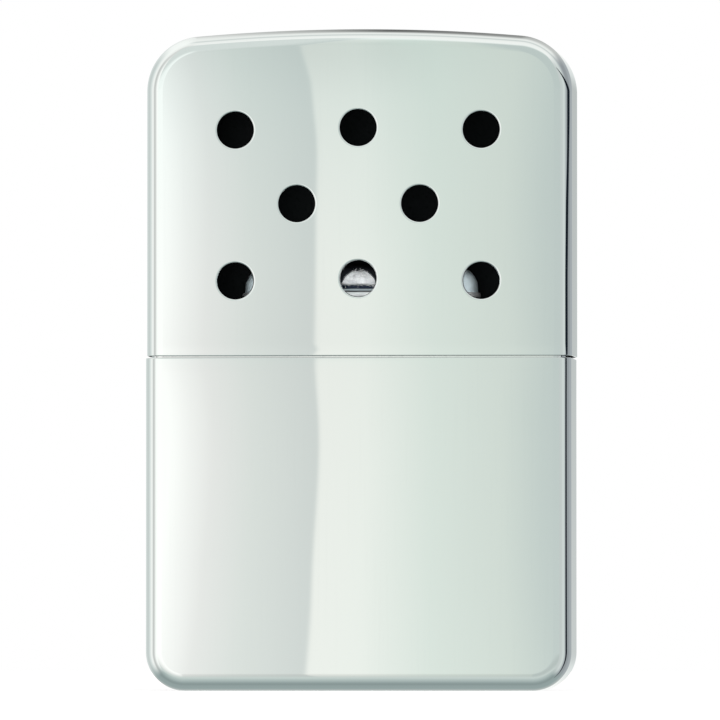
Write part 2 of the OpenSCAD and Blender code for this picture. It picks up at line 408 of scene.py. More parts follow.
class Wire:
    """A socket of a node tree on which Python's operators add Math nodes."""

    def __init__(self, sheet: NodeSheet, socket: bpy.types.NodeSocket) -> None:
        """Keeps the socket and the sheet that it is on."""
        self.sheet = sheet
        self.socket = socket

    def _maths(self, operation: str, *values: Wire | float) -> Wire:
        """Adds a Math node."""
        return self.sheet.node("ShaderNodeMath", {"operation": operation}, dict(enumerate(values)))

    def __add__(self, other: Wire | float) -> Wire:
        """self + other."""
        return self._maths("ADD", self, other)

    __radd__ = __add__

    def __mul__(self, other: Wire | float) -> Wire:
        """self * other."""
        return self._maths("MULTIPLY", self, other)

    __rmul__ = __mul__

    def __sub__(self, other: Wire | float) -> Wire:
        """self - other."""
        return self._maths("SUBTRACT", self, other)

    def __rsub__(self, other: float) -> Wire:
        """other - self."""
        return self._maths("SUBTRACT", other, self)

    def __truediv__(self, other: Wire | float) -> Wire:
        """self / other."""
        return self._maths("DIVIDE", self, other)

    def __neg__(self) -> Wire:
        """-self."""
        return self._maths("MULTIPLY", self, -1.0)

    def __abs__(self) -> Wire:
        """The size of self."""
        return self._maths("ABSOLUTE", self)

    def __pow__(self, other: Wire | float) -> Wire:
        """self to the power of other."""
        return self._maths("POWER", self, other)

    def angle_with(self, other: Wire | float) -> Wire:
        """The angle whose tangent is self over other."""
        return self._maths("ARCTAN2", self, other)

    def at_most(self, other: Wire | float) -> Wire:
        """The lesser of self and other."""
        return self._maths("MINIMUM", self, other)

    def smooth(self, low: float, high: float) -> Wire:
        """0 below low, 1 above high, and a smooth step between them."""
        values = {0: self, 1: low, 2: high, 3: 0.0, 4: 1.0}
        return self.sheet.node("ShaderNodeMapRange", {"interpolation_type": "SMOOTHSTEP"}, values)


class NodeSheet:
    """A node tree that is written as expressions."""

    def __init__(self, tree: bpy.types.NodeTree) -> None:
        """Empties the tree."""
        self.tree = tree
        tree.nodes.clear()

    def node(
        self, kind: str, settings: dict | None = None, values: dict | None = None, out: int | str = 0
    ) -> Wire:
        """Adds a node.

        Args:
            kind: The node's type.
            settings: Properties of the node, or a ramp's stops under "stops".
            values: Values or wires for its inputs, by number or name.
            out: The output that the wire comes from.

        Returns:
            The wire from that output.
        """
        made = self.tree.nodes.new(kind)
        for name, value in (settings or {}).items():
            if name == "stops":
                self._stops(made.color_ramp, value)
            else:
                setattr(made, name, value)
        for name, value in (values or {}).items():
            if isinstance(value, Wire):
                self.tree.links.new(value.socket, made.inputs[name])
            else:
                made.inputs[name].default_value = value
        return Wire(self, made.outputs[out])

    @staticmethod
    def _stops(ramp: bpy.types.ColorRamp, stops: Sequence[tuple[float, Colour]]) -> None:
        """Sets a ramp's stops."""
        while len(ramp.elements) > 1:
            ramp.elements.remove(ramp.elements[-1])
        for i, (place, colour) in enumerate(stops):
            stop = ramp.elements[0] if i == 0 else ramp.elements.new(place)
            stop.position = place
            stop.color = (*colour, 1.0)

    def ramp(self, value: Wire, stops: Sequence[tuple[float, Colour]], mode: str = "LINEAR") -> Wire:
        """Turns a value into a colour along a ramp.

        Args:
            value: The value, from 0 to 1.
            stops: The ramp's places and their colours.
            mode: How it runs between them.

        Returns:
            The colour.
        """
        made = self.node("ShaderNodeValToRGB", {"stops": stops}, {0: value})
        made.socket.node.color_ramp.interpolation = mode
        return made

    def curve(
        self, value: Wire, points: Sequence[Flat], low: float = 0.0, high: float = 1.0, mode: str = "LINEAR"
    ) -> Wire:
        """Turns a value into another one.

        Args:
            value: The value, as a share of the way from low to high.
            points: Places between low and high, each with the result there, from 0 to 1.
            low: The place at which the value is 0.
            high: The place at which it is 1.
            mode: How the ramp runs between the points.

        Returns:
            The result.
        """
        stops = [((place - low) / (high - low), (level, level, level)) for place, level in points]
        return self.axes(self.ramp(value, stops, mode))[0]

    def mix(self, share: Wire | float, first: Wire | Colour, second: Wire | Colour, how: str = "MIX") -> Wire:
        """Mixes two colours.

        Args:
            share: How much of the second there is, from 0 to 1.
            first: The first colour.
            second: The second colour.
            how: The way of mixing.

        Returns:
            The mixed colour.
        """
        first, second = ((*c, 1.0) if isinstance(c, tuple) else c for c in (first, second))
        settings = {"data_type": "RGBA", "blend_type": how}
        return self.node("ShaderNodeMix", settings, {0: share, 6: first, 7: second}, 2)

    def coords(self) -> Wire:
        """Object coordinates, in metres."""
        return self.node("ShaderNodeTexCoord", out="Object")

    def stretched(self, scale: Colour) -> Wire:
        """Object coordinates times a scale for each axis."""
        values = {"Vector": self.coords(), "Scale": scale}
        return self.node("ShaderNodeMapping", {"vector_type": "POINT"}, values)

    def axes(self, vector: Wire) -> tuple[Wire, Wire, Wire]:
        """The three parts of a vector."""
        split = self.node("ShaderNodeSeparateXYZ", {}, {0: vector}).socket.node
        return Wire(self, split.outputs[0]), Wire(self, split.outputs[1]), Wire(self, split.outputs[2])

    def noise(self, scale: Colour, detail: float = 3.0, rough: float = 0.55) -> Wire:
        """Noise, with so many grains to the metre along each axis."""
        values = {"Vector": self.stretched(scale), "Scale": 1.0, "Detail": detail, "Roughness": rough}
        return self.node("ShaderNodeTexNoise", {"noise_dimensions": "3D"}, values)

    def bump(self, height: Wire, distance: float, strength: float) -> Wire:
        """A normal from a height."""
        return self.node("ShaderNodeBump", {}, {"Strength": strength, "Distance": distance, "Height": height})


def blank_material(name: str) -> tuple[bpy.types.Material, NodeSheet]:
    """Makes an empty material.

    Args:
        name: Its name.

    Returns:
        The material and its tree.
    """
    made = bpy.data.materials.new(name)
    made.use_nodes = True
    return made, NodeSheet(made.node_tree)


def finish_with(sheet: NodeSheet, shader: Wire, kind: str = "ShaderNodeOutputMaterial") -> None:
    """Ends a tree with its output node."""
    end = sheet.tree.nodes.new(kind)
    sheet.tree.links.new(shader.socket, end.inputs["Surface"])


# ---------------------------------------------------------------- finishes


class Grain(Enum):
    """Which way the lines of a polished or brushed metal run."""

    UPRIGHT = (1.0, 1.0, 0.02)
    ACROSS = (0.03, 1.0, 1.0)
    NONE = (1.0, 1.0, 1.0)


@dataclass(frozen=True)
class Metal:
    """A plated, brushed or bare metal.

    `dull_colour` is that of its hazy places, `spread` what they add to its roughness, and `grain_count`
    the brushed lines to the metre. `upper_shade` is painted shade, a dark colour that comes up between two
    heights, and `painted_shade` is painted shade, a black laid over the middle of the cover, except for a
    lighter band along the foot with a painted shadow line under it. The last fields are in millimetres.
    """

    name: str
    colour: Colour
    dull_colour: Colour
    roughness: float
    spread: float
    grain: Grain
    grain_count: float = 2600.0
    relief: float = 0.0
    edge_wear: float = 0.0
    metal: float = 1.0
    upper_shade: Colour | None = None
    upper_shade_from: float = 0.0
    upper_shade_to: float = 1.0
    painted_shade: Colour | None = None
    shade_half: float = 9.0
    shade_fade: float = 2.5
    shadow_line_top: float = 46.42
    lit_band_top: float = 46.7

    def with_painted_shade(self, sheet: NodeSheet, colour: Wire, cloud: Wire) -> Wire:
        """Paints shade over the middle of the metal, where the lid's inside shades it.

        Args:
            sheet: The material's tree.
            colour: The metal's colour so far.
            cloud: Soft clouds that make the dark part's edge uneven.

        Returns:
            The colour with painted shade over the middle, a lighter band along the foot, and a painted shadow
            line under that band.
        """
        x, _, z = sheet.axes(sheet.coords())
        along = abs(x) + (cloud - 0.5) * (1.6 * MM)
        near = 1 - along.smooth(self.shade_half * MM, (self.shade_half + self.shade_fade) * MM)
        band = z.smooth(self.shadow_line_top * MM, (self.shadow_line_top + 0.05) * MM)
        band = band * (1 - z.smooth((self.lit_band_top - 0.06) * MM, self.lit_band_top * MM))
        dark = sheet.mix(band, self.painted_shade, self.dull_colour)
        return sheet.mix(near * (1 - band * 0.45), sheet.mix(near * band, colour, dark), self.painted_shade)

    def material(self) -> bpy.types.Material:
        """Builds the finish.

        Returns:
            A material whose colour, gloss and relief vary over the surface.
        """
        made, sheet = blank_material(self.name)
        sx, sy, sz = self.grain.value
        count = self.grain_count
        lines = sheet.noise((count * sx, count * sy, count * sz), 4.0, 0.6)
        cloud = sheet.noise((70.0, 70.0, 45.0), 2.0, 0.5)
        flecks = sheet.noise((5200.0 * sx, 5200.0 * sy, 5200.0 * sz), 2.0, 0.5)
        edge = sheet.node("ShaderNodeAttribute", {"attribute_name": "edge"}, out="Fac")
        haze = (cloud.smooth(0.35, 0.8) * 0.5 + lines.smooth(0.5, 0.75) * 0.5).at_most(1.0)
        worn = (edge * flecks.smooth(0.45, 0.7) * self.edge_wear).at_most(1.0)
        colour = sheet.mix(haze, self.colour, self.dull_colour)
        # Painted shade: a blue-black that comes up between two heights, for the shade under the mat.
        if self.upper_shade:
            _, _, height = sheet.axes(sheet.coords())
            shade_rise = height.smooth(self.upper_shade_from * MM, self.upper_shade_to * MM) * (0.6 + cloud)
            colour = sheet.mix(shade_rise.at_most(1.0), colour, self.upper_shade)
        # Painted shade: near-black over the cover's middle, with a painted shadow line at its foot.
        if self.painted_shade:
            colour = self.with_painted_shade(sheet, colour, cloud)
        colour = sheet.mix(worn, colour, self.dull_colour)
        rough = self.roughness + haze * self.spread + worn * 0.12
        values = {"Base Color": colour, "Metallic": self.metal, "Roughness": rough}
        if self.relief:
            values["Normal"] = sheet.bump(lines, 0.0001, self.relief)
        finish_with(sheet, sheet.node("ShaderNodeBsdfPrincipled", {}, values))
        return made


@dataclass(frozen=True)
class Fibre:
    """A felt, cotton or glass-fibre finish."""

    name: str
    colour: Colour
    deep_colour: Colour
    fibre_count: float
    relief: float
    sheen: float

    def material(self) -> bpy.types.Material:
        """Builds the finish.

        Returns:
            A matt material with strands and soft clumps.
        """
        made, sheet = blank_material(self.name)
        count = self.fibre_count
        strands = sheet.noise((count, count * 0.35, count), 5.0, 0.65)
        cross = sheet.noise((count * 0.3, count, count * 0.5), 4.0, 0.6)
        clumps = sheet.noise((count * 0.12, count * 0.12, count * 0.12), 2.0, 0.5)
        depth = (strands * 0.45 + cross * 0.35 + clumps * 0.2).smooth(0.36, 0.6)
        colour = sheet.mix(depth, self.deep_colour, self.colour)
        values = {
            "Base Color": colour,
            "Roughness": 0.95 - depth * 0.1,
            "Sheen Weight": self.sheen,
            "Specular IOR Level": 0.3,
            "Normal": sheet.bump(strands + cross, 0.0003, self.relief),
        }
        finish_with(sheet, sheet.node("ShaderNodeBsdfPrincipled", {}, values))
        return made


class Finish(Enum):
    """The finishes of the warmer, each the one of a material slot of the record."""

    CASE = Metal(
        "case_chrome", (0.86, 0.885, 0.87), (0.845, 0.87, 0.856), 0.018, 0.014, Grain.UPRIGHT, edge_wear=0.5
    )
    COLLAR = Metal(
        "collar_chrome", (0.84, 0.85, 0.84), (0.74, 0.75, 0.745), 0.09, 0.08, Grain.UPRIGHT, edge_wear=0.7
    )
    DECK = Metal(
        "deck_nickel", (0.72, 0.72, 0.70), (0.60, 0.60, 0.575), 0.24, 0.12, Grain.ACROSS, relief=0.15
    )
    NECK = Metal("neck_nickel", (0.74, 0.73, 0.70), (0.62, 0.61, 0.58), 0.20, 0.12, Grain.ACROSS, relief=0.1)
    STRIP = Metal(
        "strip_steel",
        (0.58, 0.58, 0.59),
        (0.44, 0.44, 0.45),
        0.28,
        0.14,
        Grain.ACROSS,
        relief=0.2,
        # painted shade: blue-black above 45.4 mm, for the shade round the mat carrier
        upper_shade=(0.035, 0.045, 0.07),
        upper_shade_from=45.4,
        upper_shade_to=46.2,
    )
    BURNER = Metal(
        "burner_nickel",
        (0.80, 0.82, 0.83),
        (0.68, 0.70, 0.715),
        0.34,
        0.12,
        Grain.ACROSS,
        relief=0.08,
        edge_wear=0.4,
        metal=0.35,
    )
    FELT = Fibre("wick_felt", (0.88, 0.86, 0.80), (0.66, 0.63, 0.55), 2600.0, 0.5, 0.3)
    COTTON = Fibre("tank_cotton", (0.94, 0.93, 0.89), (0.78, 0.76, 0.70), 1500.0, 0.7, 0.4)
    GLASS = Fibre("glass_fibre", (0.97, 0.98, 0.98), (0.80, 0.82, 0.84), 3600.0, 0.4, 0.1)


# Two finishes that no slot names: the cover, with painted shade over its middle, and the lid's inside,
# painted near-black as shade.
HOOD = Metal(
    "burner_hood_nickel",
    (0.80, 0.93, 0.97),
    (0.68, 0.80, 0.84),
    0.3,
    0.12,
    Grain.ACROSS,
    relief=0.08,
    edge_wear=0.2,
    metal=0.0,
    # painted shade: near-black over the middle of the cover
    painted_shade=(0.012, 0.013, 0.016),
)
# Painted shade: the shells' inner faces are coloured near-black for the shade inside the case.
SHADED_INSIDE = Metal("lid_inside_painted_shade", (0.035, 0.037, 0.04), (0.02, 0.021, 0.023), 0.45, 0.1, Grain.NONE, relief=0.1)


class Shelf:
    """Keeps each finish's material, so that it is made once."""

    def __init__(self) -> None:
        """Starts with no material."""
        self.made: dict[str, bpy.types.Material] = {}

    def of(self, finish: Finish | Metal) -> bpy.types.Material:
        """The material of a finish.

        Args:
            finish: The finish, or the recipe of one without a slot.

        Returns:
            Its material, made the first time that it is asked for.
        """
        recipe = finish.value if isinstance(finish, Finish) else finish
        if recipe.name not in self.made:
            self.made[recipe.name] = recipe.material()
        return self.made[recipe.name]


def settle(piece: bpy.types.Object, body: str, finish: Finish, *nodes: str) -> None:
    """Ties a piece to its body and the nodes that it stands for.

    Args:
        piece: The piece.
        body: The body that it rides on.
        finish: Its finish; not used.
        *nodes: The nodes that it replaces.
    """
    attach(piece, body)
    if nodes:
        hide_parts(*nodes)
    LOG.info("%s rides on %s, %d faces", piece.name, body, len(piece.data.polygons))


# ---------------------------------------------------------------- the two shells


@dataclass(frozen=True)
class Crown:
    """How the large faces of a shell fall away from their middle.

    The face bows across by `depth` times `peak` at the height `middle`, and by less towards its two ends,
    where a share `keep_above` or `keep_below` of it is left. It falls further from `tip_from` to `tip_to`,
    and curls in a little at the seam.
    """

    middle: float
    above: float
    below: float
    keep_above: float
    keep_below: float
    peak: float
    tip_from: float
    tip_to: float
    tip_depth: float
    depth: float = 0.2
    half_span: float = 24.75
    curl_at: float = 38.8
    curl_reach: float = 1.6
    curl_depth: float = 0.035

    def fall(self, x: float, z: float) -> float:
        """How far the face has fallen at a place.

        Args:
            x: The place across.
            z: Its height.

        Returns:
            The fall, in millimetres.
        """
        off = z - self.middle
        share = off / (self.above if off > 0 else self.below)
        keep = self.keep_above if off > 0 else self.keep_below
        bow = self.depth * (x / self.half_span) ** 2 * (self.peak - (self.peak - keep) * share * share)
        tip = max(0.0, (z - self.tip_from) / (self.tip_to - self.tip_from)) ** 2 * self.tip_depth
        curl = max(0.0, 1 - abs(z - self.curl_at) / self.curl_reach) ** 2 * self.curl_depth
        return bow + tip + curl

    def slopes(self, x: float, z: float) -> tuple[float, float]:
        """How fast it falls along X and along Z."""
        step = 0.002
        return (
            (self.fall(x + step, z) - self.fall(x - step, z)) / (2 * step),
            (self.fall(x, z + step) - self.fall(x, z - step)) / (2 * step),
        )


@dataclass
class DrawnShell:
    """A drawn sheet shell: one half of the case.

    `inset` shrinks it from the case's full outline, `seam_gap` keeps it clear of the seam's middle, and
    `rim_radius` rounds the edges of its holes.
    """

    half_width: float = 24.75
    half_depth: float = 7.0
    seam: float = 38.8
    wall: float = 0.5
    edge: float = 2.0
    inset: float = 0.0
    lip_radius: float = 0.12
    rim_radius: float = 0.24
    seam_gap: float = 0.05
    edge_steps: int = 14
    side_steps: int = 26
    band_steps: int = 4
    face_step: float = 1.1
    top_points: int = 44
    skin: Skin = field(default_factory=Skin)
    crown: Crown = Crown(
        middle=30.0,
        above=8.8,
        below=25.4,
        keep_above=0.88,
        keep_below=0.74,
        peak=1.1,
        tip_from=90.0,
        tip_to=100.0,
        tip_depth=0.0,
    )

    @property
    def up(self) -> int:
        """1 where the shell's open end is its upper one, or -1."""
        return 1

    @property
    def open_end(self) -> float:
        """Height at which the shell's walls start to round towards the seam."""
        return self.seam - self.up * (self.seam_gap + self.lip_radius)

    def outline(self) -> list[PathPoint]:
        """The shell's outline in the XZ plane, from its left end round to its right end."""
        raise NotImplementedError

    def holes(self) -> list[tuple[float, float, float]]:
        """Centres and radii of the holes in the front face."""
        return []

    @staticmethod
    def arc(x: float, z: float, radius: float, start: float, end: float, steps: int) -> list[PathPoint]:
        """Points round an arc.

        Args:
            x: Its centre across.
            z: Its centre's height.
            radius: Its radius.
            start: Angle at which it starts, in degrees.
            end: Angle at which it ends.
            steps: Steps along it.

        Returns:
            The points, with their outward directions.
        """
        made = []
        for k in range(steps + 1):
            angle = math.radians(start + (end - start) * k / steps)
            nx, nz = math.cos(angle), math.sin(angle)
            made.append(PathPoint(x + radius * nx, z + radius * nz, nx, nz))
        return made

    @staticmethod
    def straight(first: PathPoint, second: PathPoint, steps: int) -> list[PathPoint]:
        """Points between two others, without the ends.

        Args:
            first: The point before them, whose outward direction they have.
            second: The point after them.
            steps: Steps from the one to the other.

        Returns:
            The points.
        """
        made = []
        for k in range(1, steps):
            share = k / steps
            x, z = first.x + (second.x - first.x) * share, first.y + (second.y - first.y) * share
            made.append(PathPoint(x, z, first.nx, first.ny))
        return made

    def ringed(
        self, left: list[PathPoint], middle: list[PathPoint], right: list[PathPoint]
    ) -> list[PathPoint]:
        """Joins the corners and the middle of the outline to the open end by straight sides.

        Args:
            left: The left corner.
            middle: What runs from the left corner to the right one.
            right: The right corner.

        Returns:
            The whole outline.
        """
        start = PathPoint(-self.half_width, self.open_end, -1, 0)
        end = PathPoint(self.half_width, self.open_end, 1, 0)
        low = PathPoint(self.half_width, left[0].y, 1, 0)
        steps = self.side_steps
        sides = self.straight(start, left[0], steps), self.straight(low, end, steps)
        return [start, *sides[0], *left, *middle, *right, *sides[1], end]

    def lift(self, side: int, outer: bool) -> Lift:
        """How a flat place becomes a point of a large face.

        Args:
            side: -1 for the front, 1 for the back.
            outer: Whether it is the outer face.

        Returns:
            A function from (x, z) to a point and its normal.
        """
        depth = self.half_depth - self.inset - (0.0 if outer else self.wall)

        def placed(x: float, z: float) -> tuple[Vector, Vector]:
            """The point and its normal; the inner face is flat."""
            if not outer:
                return Vector((x, side * depth, z)), Vector((0, -side, 0))
            sx, sz = self.crown.slopes(x, z)
            return Vector((x, side * (depth - self.crown.fall(x, z)), z)), Vector((sx, side, sz))

        return placed

    def bent(self, p: PathPoint, side: int, angle: float, outer: bool) -> int:
        """A point of the rounded edge that runs round a large face.

        Args:
            p: The point of the outline beside it.
            side: -1 for the front edge, 1 for the back one.
            angle: 0 on the shell's side and a quarter turn on its face.
            outer: Whether it is the outer surface.

        Returns:
            The point's number.
        """
        radius = self.edge - self.inset - (0.0 if outer else self.wall)
        c, s = math.cos(angle), math.sin(angle)
        inward = self.edge - radius * c
        x, z = p.x - p.nx * inward, p.y - p.ny * inward
        deep = self.half_depth - self.edge + radius * s
        if not outer:
            return self.skin.point(Vector((x, side * deep, z)), Vector((-p.nx * c, -side * s, -p.ny * c)))
        sx, sz = self.crown.slopes(x, z)
        place = Vector((x, side * (deep - self.crown.fall(x, z)), z))
        return self.skin.point(place, Vector((p.nx * c + s * sx, side * s, p.ny * c + s * sz)), 0.6 * c)

    def surface(self, outer: bool, rims: dict[int, list[list[FlatPoint]]], ink: int) -> list[int]:
        """Builds the outer or the inner surface of the sheet.

        Args:
            outer: Which of the two.
            rims: Outlines of the holes in each large face, by side.
            ink: Number of the finish.

        Returns:
            The ring of points at its open end.
        """
        points = self.outline()
        skin, steps, bands = self.skin, self.edge_steps, self.band_steps
        grid = []
        for p in points:
            front = [self.bent(p, -1, QUARTER * (1 - k / steps), outer) for k in range(steps + 1)]
            back = [self.bent(p, 1, QUARTER * k / steps, outer) for k in range(steps + 1)]
            low, high = skin.places[front[-1]], skin.places[back[0]]
            way = skin.normals[front[-1]]
            band = [skin.point(low.lerp(high, k / bands), way, 0.2) for k in range(1, bands)]
            grid.append(front + band + back)
        self.skin.rows(grid, False, ink)
        tops = {}
        for side, column in ((-1, 0), (1, -1)):
            lift = self.lift(side, outer)
            loop = []
            for p, row in zip(points, grid):
                loop.append((p.x - p.nx * self.edge, p.y - p.ny * self.edge, row[column]))
            left, right = loop[0], loop[-1]
            top = []
            for k in range(1, self.top_points):
                x = left[0] + (right[0] - left[0]) * k / self.top_points
                top.append((x, left[1], self.skin.point(*lift(x, left[1]))))
            tops[side] = [t[2] for t in top]
            loop += reversed(top)
            self.skin.fill(loop, rims.get(side, []), self.scattered(loop, outer), lift, ink)
        return tops[-1] + list(grid[-1]) + list(reversed(tops[1])) + list(reversed(grid[0]))

    def scattered(self, loop: Sequence[FlatPoint], outer: bool) -> list[Flat]:
        """Flat places inside a face, clear of its outline and its holes.

        Args:
            loop: The face's outline.
            outer: Whether the face is crowned and so needs them.

        Returns:
            The places.
        """
        if not outer:
            return []
        step = self.face_step
        lows = (min(p[0] for p in loop) + step / 2, min(p[1] for p in loop) + step / 2)
        highs = (max(p[0] for p in loop) - step / 2, max(p[1] for p in loop) - step / 2)
        reach = step * 0.45
        nudges = [(reach, 0), (-reach, 0), (0, reach), (0, -reach)]
        keep_off = [(x, z, radius + self.rim_radius + reach) for x, z, radius in self.holes()]
        made = []
        for j, z in enumerate(np.linspace(lows[1], highs[1], int((highs[1] - lows[1]) / step) + 1)):
            for x in np.arange(lows[0] + (j % 2) * step / 2, highs[0], step):
                if not all(inside(Vector((x + a, z + b)), loop) for a, b in nudges):
                    continue
                if any(math.hypot(x - hx, z - hz) < off for hx, hz, off in keep_off):
                    continue
                made.append((float(x), float(z)))
        return made

    def build(self, name: str, finishes: Sequence[bpy.types.Material]) -> bpy.types.Object:
        """Builds the shell with its holes and its rounded open end.

        Args:
            name: Name of the piece.
            finishes: Its outer and inner finish.

        Returns:
            The piece.
        """
        outer_rims, inner_rims = [], []
        for x, z, radius in self.holes():
            rings = self.pierced(x, z, radius)
            outer_rims.append(rings[0])
            inner_rims.append(rings[1])
        outer_end = self.surface(True, {-1: outer_rims}, 0)
        inner_end = self.surface(False, {-1: inner_rims}, 1)
        ways = [Vector((0, 0, self.up))] * len(outer_end)
        self.skin.lip(outer_end, inner_end, ways, self.lip_radius, inks=(0, 1))
        return self.skin.made(name, finishes)

    def pierced(
        self, x: float, z: float, radius: float, steps: int = 72
    ) -> tuple[list[FlatPoint], list[FlatPoint]]:
        """Builds the wall of a round hole through the front face.

        Args:
            x: The hole's centre across the face.
            z: Its height.
            radius: Its radius.
            steps: Points round it.

        Returns:
            Its outlines on the outer and on the inner face.
        """
        wide = radius + self.rim_radius
        angles = [2 * math.pi * k / steps for k in range(steps)]
        places = [(x + wide * math.cos(a), z + wide * math.sin(a)) for a in angles]
        sides = []
        for outer in (True, False):
            lift = self.lift(-1, outer)
            sides.append([(u, v, self.skin.point(*lift(u, v))) for u, v in places])
        ways = [Vector((-math.cos(a), 0, -math.sin(a))) for a in angles]
        self.skin.lip([p[2] for p in sides[0]], [p[2] for p in sides[1]], ways, self.rim_radius)
        return sides[0], sides[1]


@dataclass
class Base(DrawnShell):
    """The lower shell, the outside of the tank."""

    corner: float = 4.5
    seam_gap: float = 0.17
    foot_steps: int = 34

    def outline(self) -> list[PathPoint]:
        """Down the left side, along the foot and up the right side.

        Returns:
            The outline's points.
        """
        x, r = self.half_width - self.corner, self.corner
        left = self.arc(-x, r, r, 180, 270, self.side_steps)
        right = self.arc(x, r, r, 270, 360, self.side_steps)
        return self.ringed(left, self.straight(left[-1], right[0], self.foot_steps), right)


@dataclass
class Lid(DrawnShell):
    """The upper shell, with its arched top and its vents."""

    inset: float = 0.02
    seam_gap: float = 0.03
    height: float = 76.8
    corner: float = 6.4
    arch: float = 221.0
    vent_radius: float = 2.1
    vent_across: float = 14.3
    vent_up: float = 8.755
    vent_drop: float = 11.5
    vent_bow: float = 0.25
    play: float = 0.11
    arch_steps: int = 40
    crown: Crown = Crown(
        middle=57.0,
        above=15.0,
        below=18.5,
        keep_above=0.69,
        keep_below=0.86,
        peak=1.02,
        tip_from=62.0,
        tip_to=76.8,
        tip_depth=0.09,
    )

    @property
    def up(self) -> int:
        """The lid is open below."""
        return -1

    def outline(self) -> list[PathPoint]:
        """Up the left side, over the arch and down the right side.

        Returns:
            The outline's points.
        """
        x, r = self.half_width - self.corner, self.corner
        low = self.height + self.inset - self.arch
        z = low + math.sqrt((self.arch - r) ** 2 - x * x)
        lean = math.degrees(math.asin(x / (self.arch - r)))
        left = self.arc(-x, z, r, 180, 90 + lean, self.side_steps)
        right = self.arc(x, z, r, 90 - lean, 0, self.side_steps)
        over = self.arc(0, low, self.arch, 90 + lean, 90 - lean, self.arch_steps)
        points = self.ringed(left, over[1:-1], right)
        return [PathPoint(p.x + self.play, p.y, p.nx, p.ny) for p in points]

    def holes(self) -> list[tuple[float, float, float]]:
        """Rows of three, two and three vents, each row bowed as the top is.

        Returns:
            Each vent's centre and radius.
        """
        made = []
        for row in range(3):
            columns = (-0.5, 0.5) if row == 1 else (-1, 0, 1)
            for column in columns:
                z = self.height - self.vent_drop - row * self.vent_up - self.vent_bow * column**2
                made.append((column * self.vent_across + self.play, z, self.vent_radius))
        return made


# ---------------------------------------------------------------- collar, tank top and packing


@dataclass
class Collar:
    """The collar inside the base, on which the lid slides."""

    half_width: float = 24.75
    half_depth: float = 7.0
    corner: float = 2.0
    sleeve: float = 0.53
    slide: float = 0.66
    sheet: float = 0.4
    rim: float = 0.9
    foot: float = 32.3
    shoulder: float = 38.2
    top: float = 44.8
    top_radius: float = 0.5

    def build(self, finish: bpy.types.Material) -> bpy.types.Object:
        """Sweeps the collar's section round the case.

        Args:
            finish: Its finish.

        Returns:
            The collar.
        """
        out, mid, thick = -self.sleeve, -self.slide, self.sheet
        lip = mid - self.rim
        section = [
            (out - thick, self.foot),
            (out, self.foot),
            (out, self.shoulder),
            (mid, self.shoulder + 0.15),
            (mid, self.top - self.top_radius),
            (mid - self.top_radius * 0.3, self.top - self.top_radius * 0.3),
            (mid - self.top_radius, self.top),
            (lip, self.top),
            (lip, self.top - thick),
            (mid - thick, self.top - thick),
            (mid - thick, self.shoulder - thick),
            (out - thick, self.shoulder - thick),
        ]
        path = case_path(self.half_width, self.half_depth, self.corner)
        return swept(path, softened(section, 0.3)).made("collar_sleeve", [finish])


@dataclass
class TankTop:
    """The neck that is soldered through the deck."""

    straight: float = 18.0
    radius: float = 3.7
    sheet: float = 0.4
    foot: float = 36.9
    deck_under: float = 40.1
    top: float = 45.2
    flange: float = 0.8

    def build(self, finish: bpy.types.Material) -> bpy.types.Object:
        """Sweeps the neck's section round the oblong.

        Args:
            finish: Its finish.

        Returns:
            The neck.
        """
        r, t = self.radius, self.sheet
        section = [
            (r - t, self.foot),
            (r, self.foot),
            (r, self.deck_under - t),
            (r + self.flange, self.deck_under - t),
            (r + self.flange, self.deck_under),
            (r, self.deck_under),
            (r, self.top),
            (r - t, self.top),
        ]
        return swept(oblong_path(self.straight), softened(section, 0.15)).made("neck_tube", [finish])


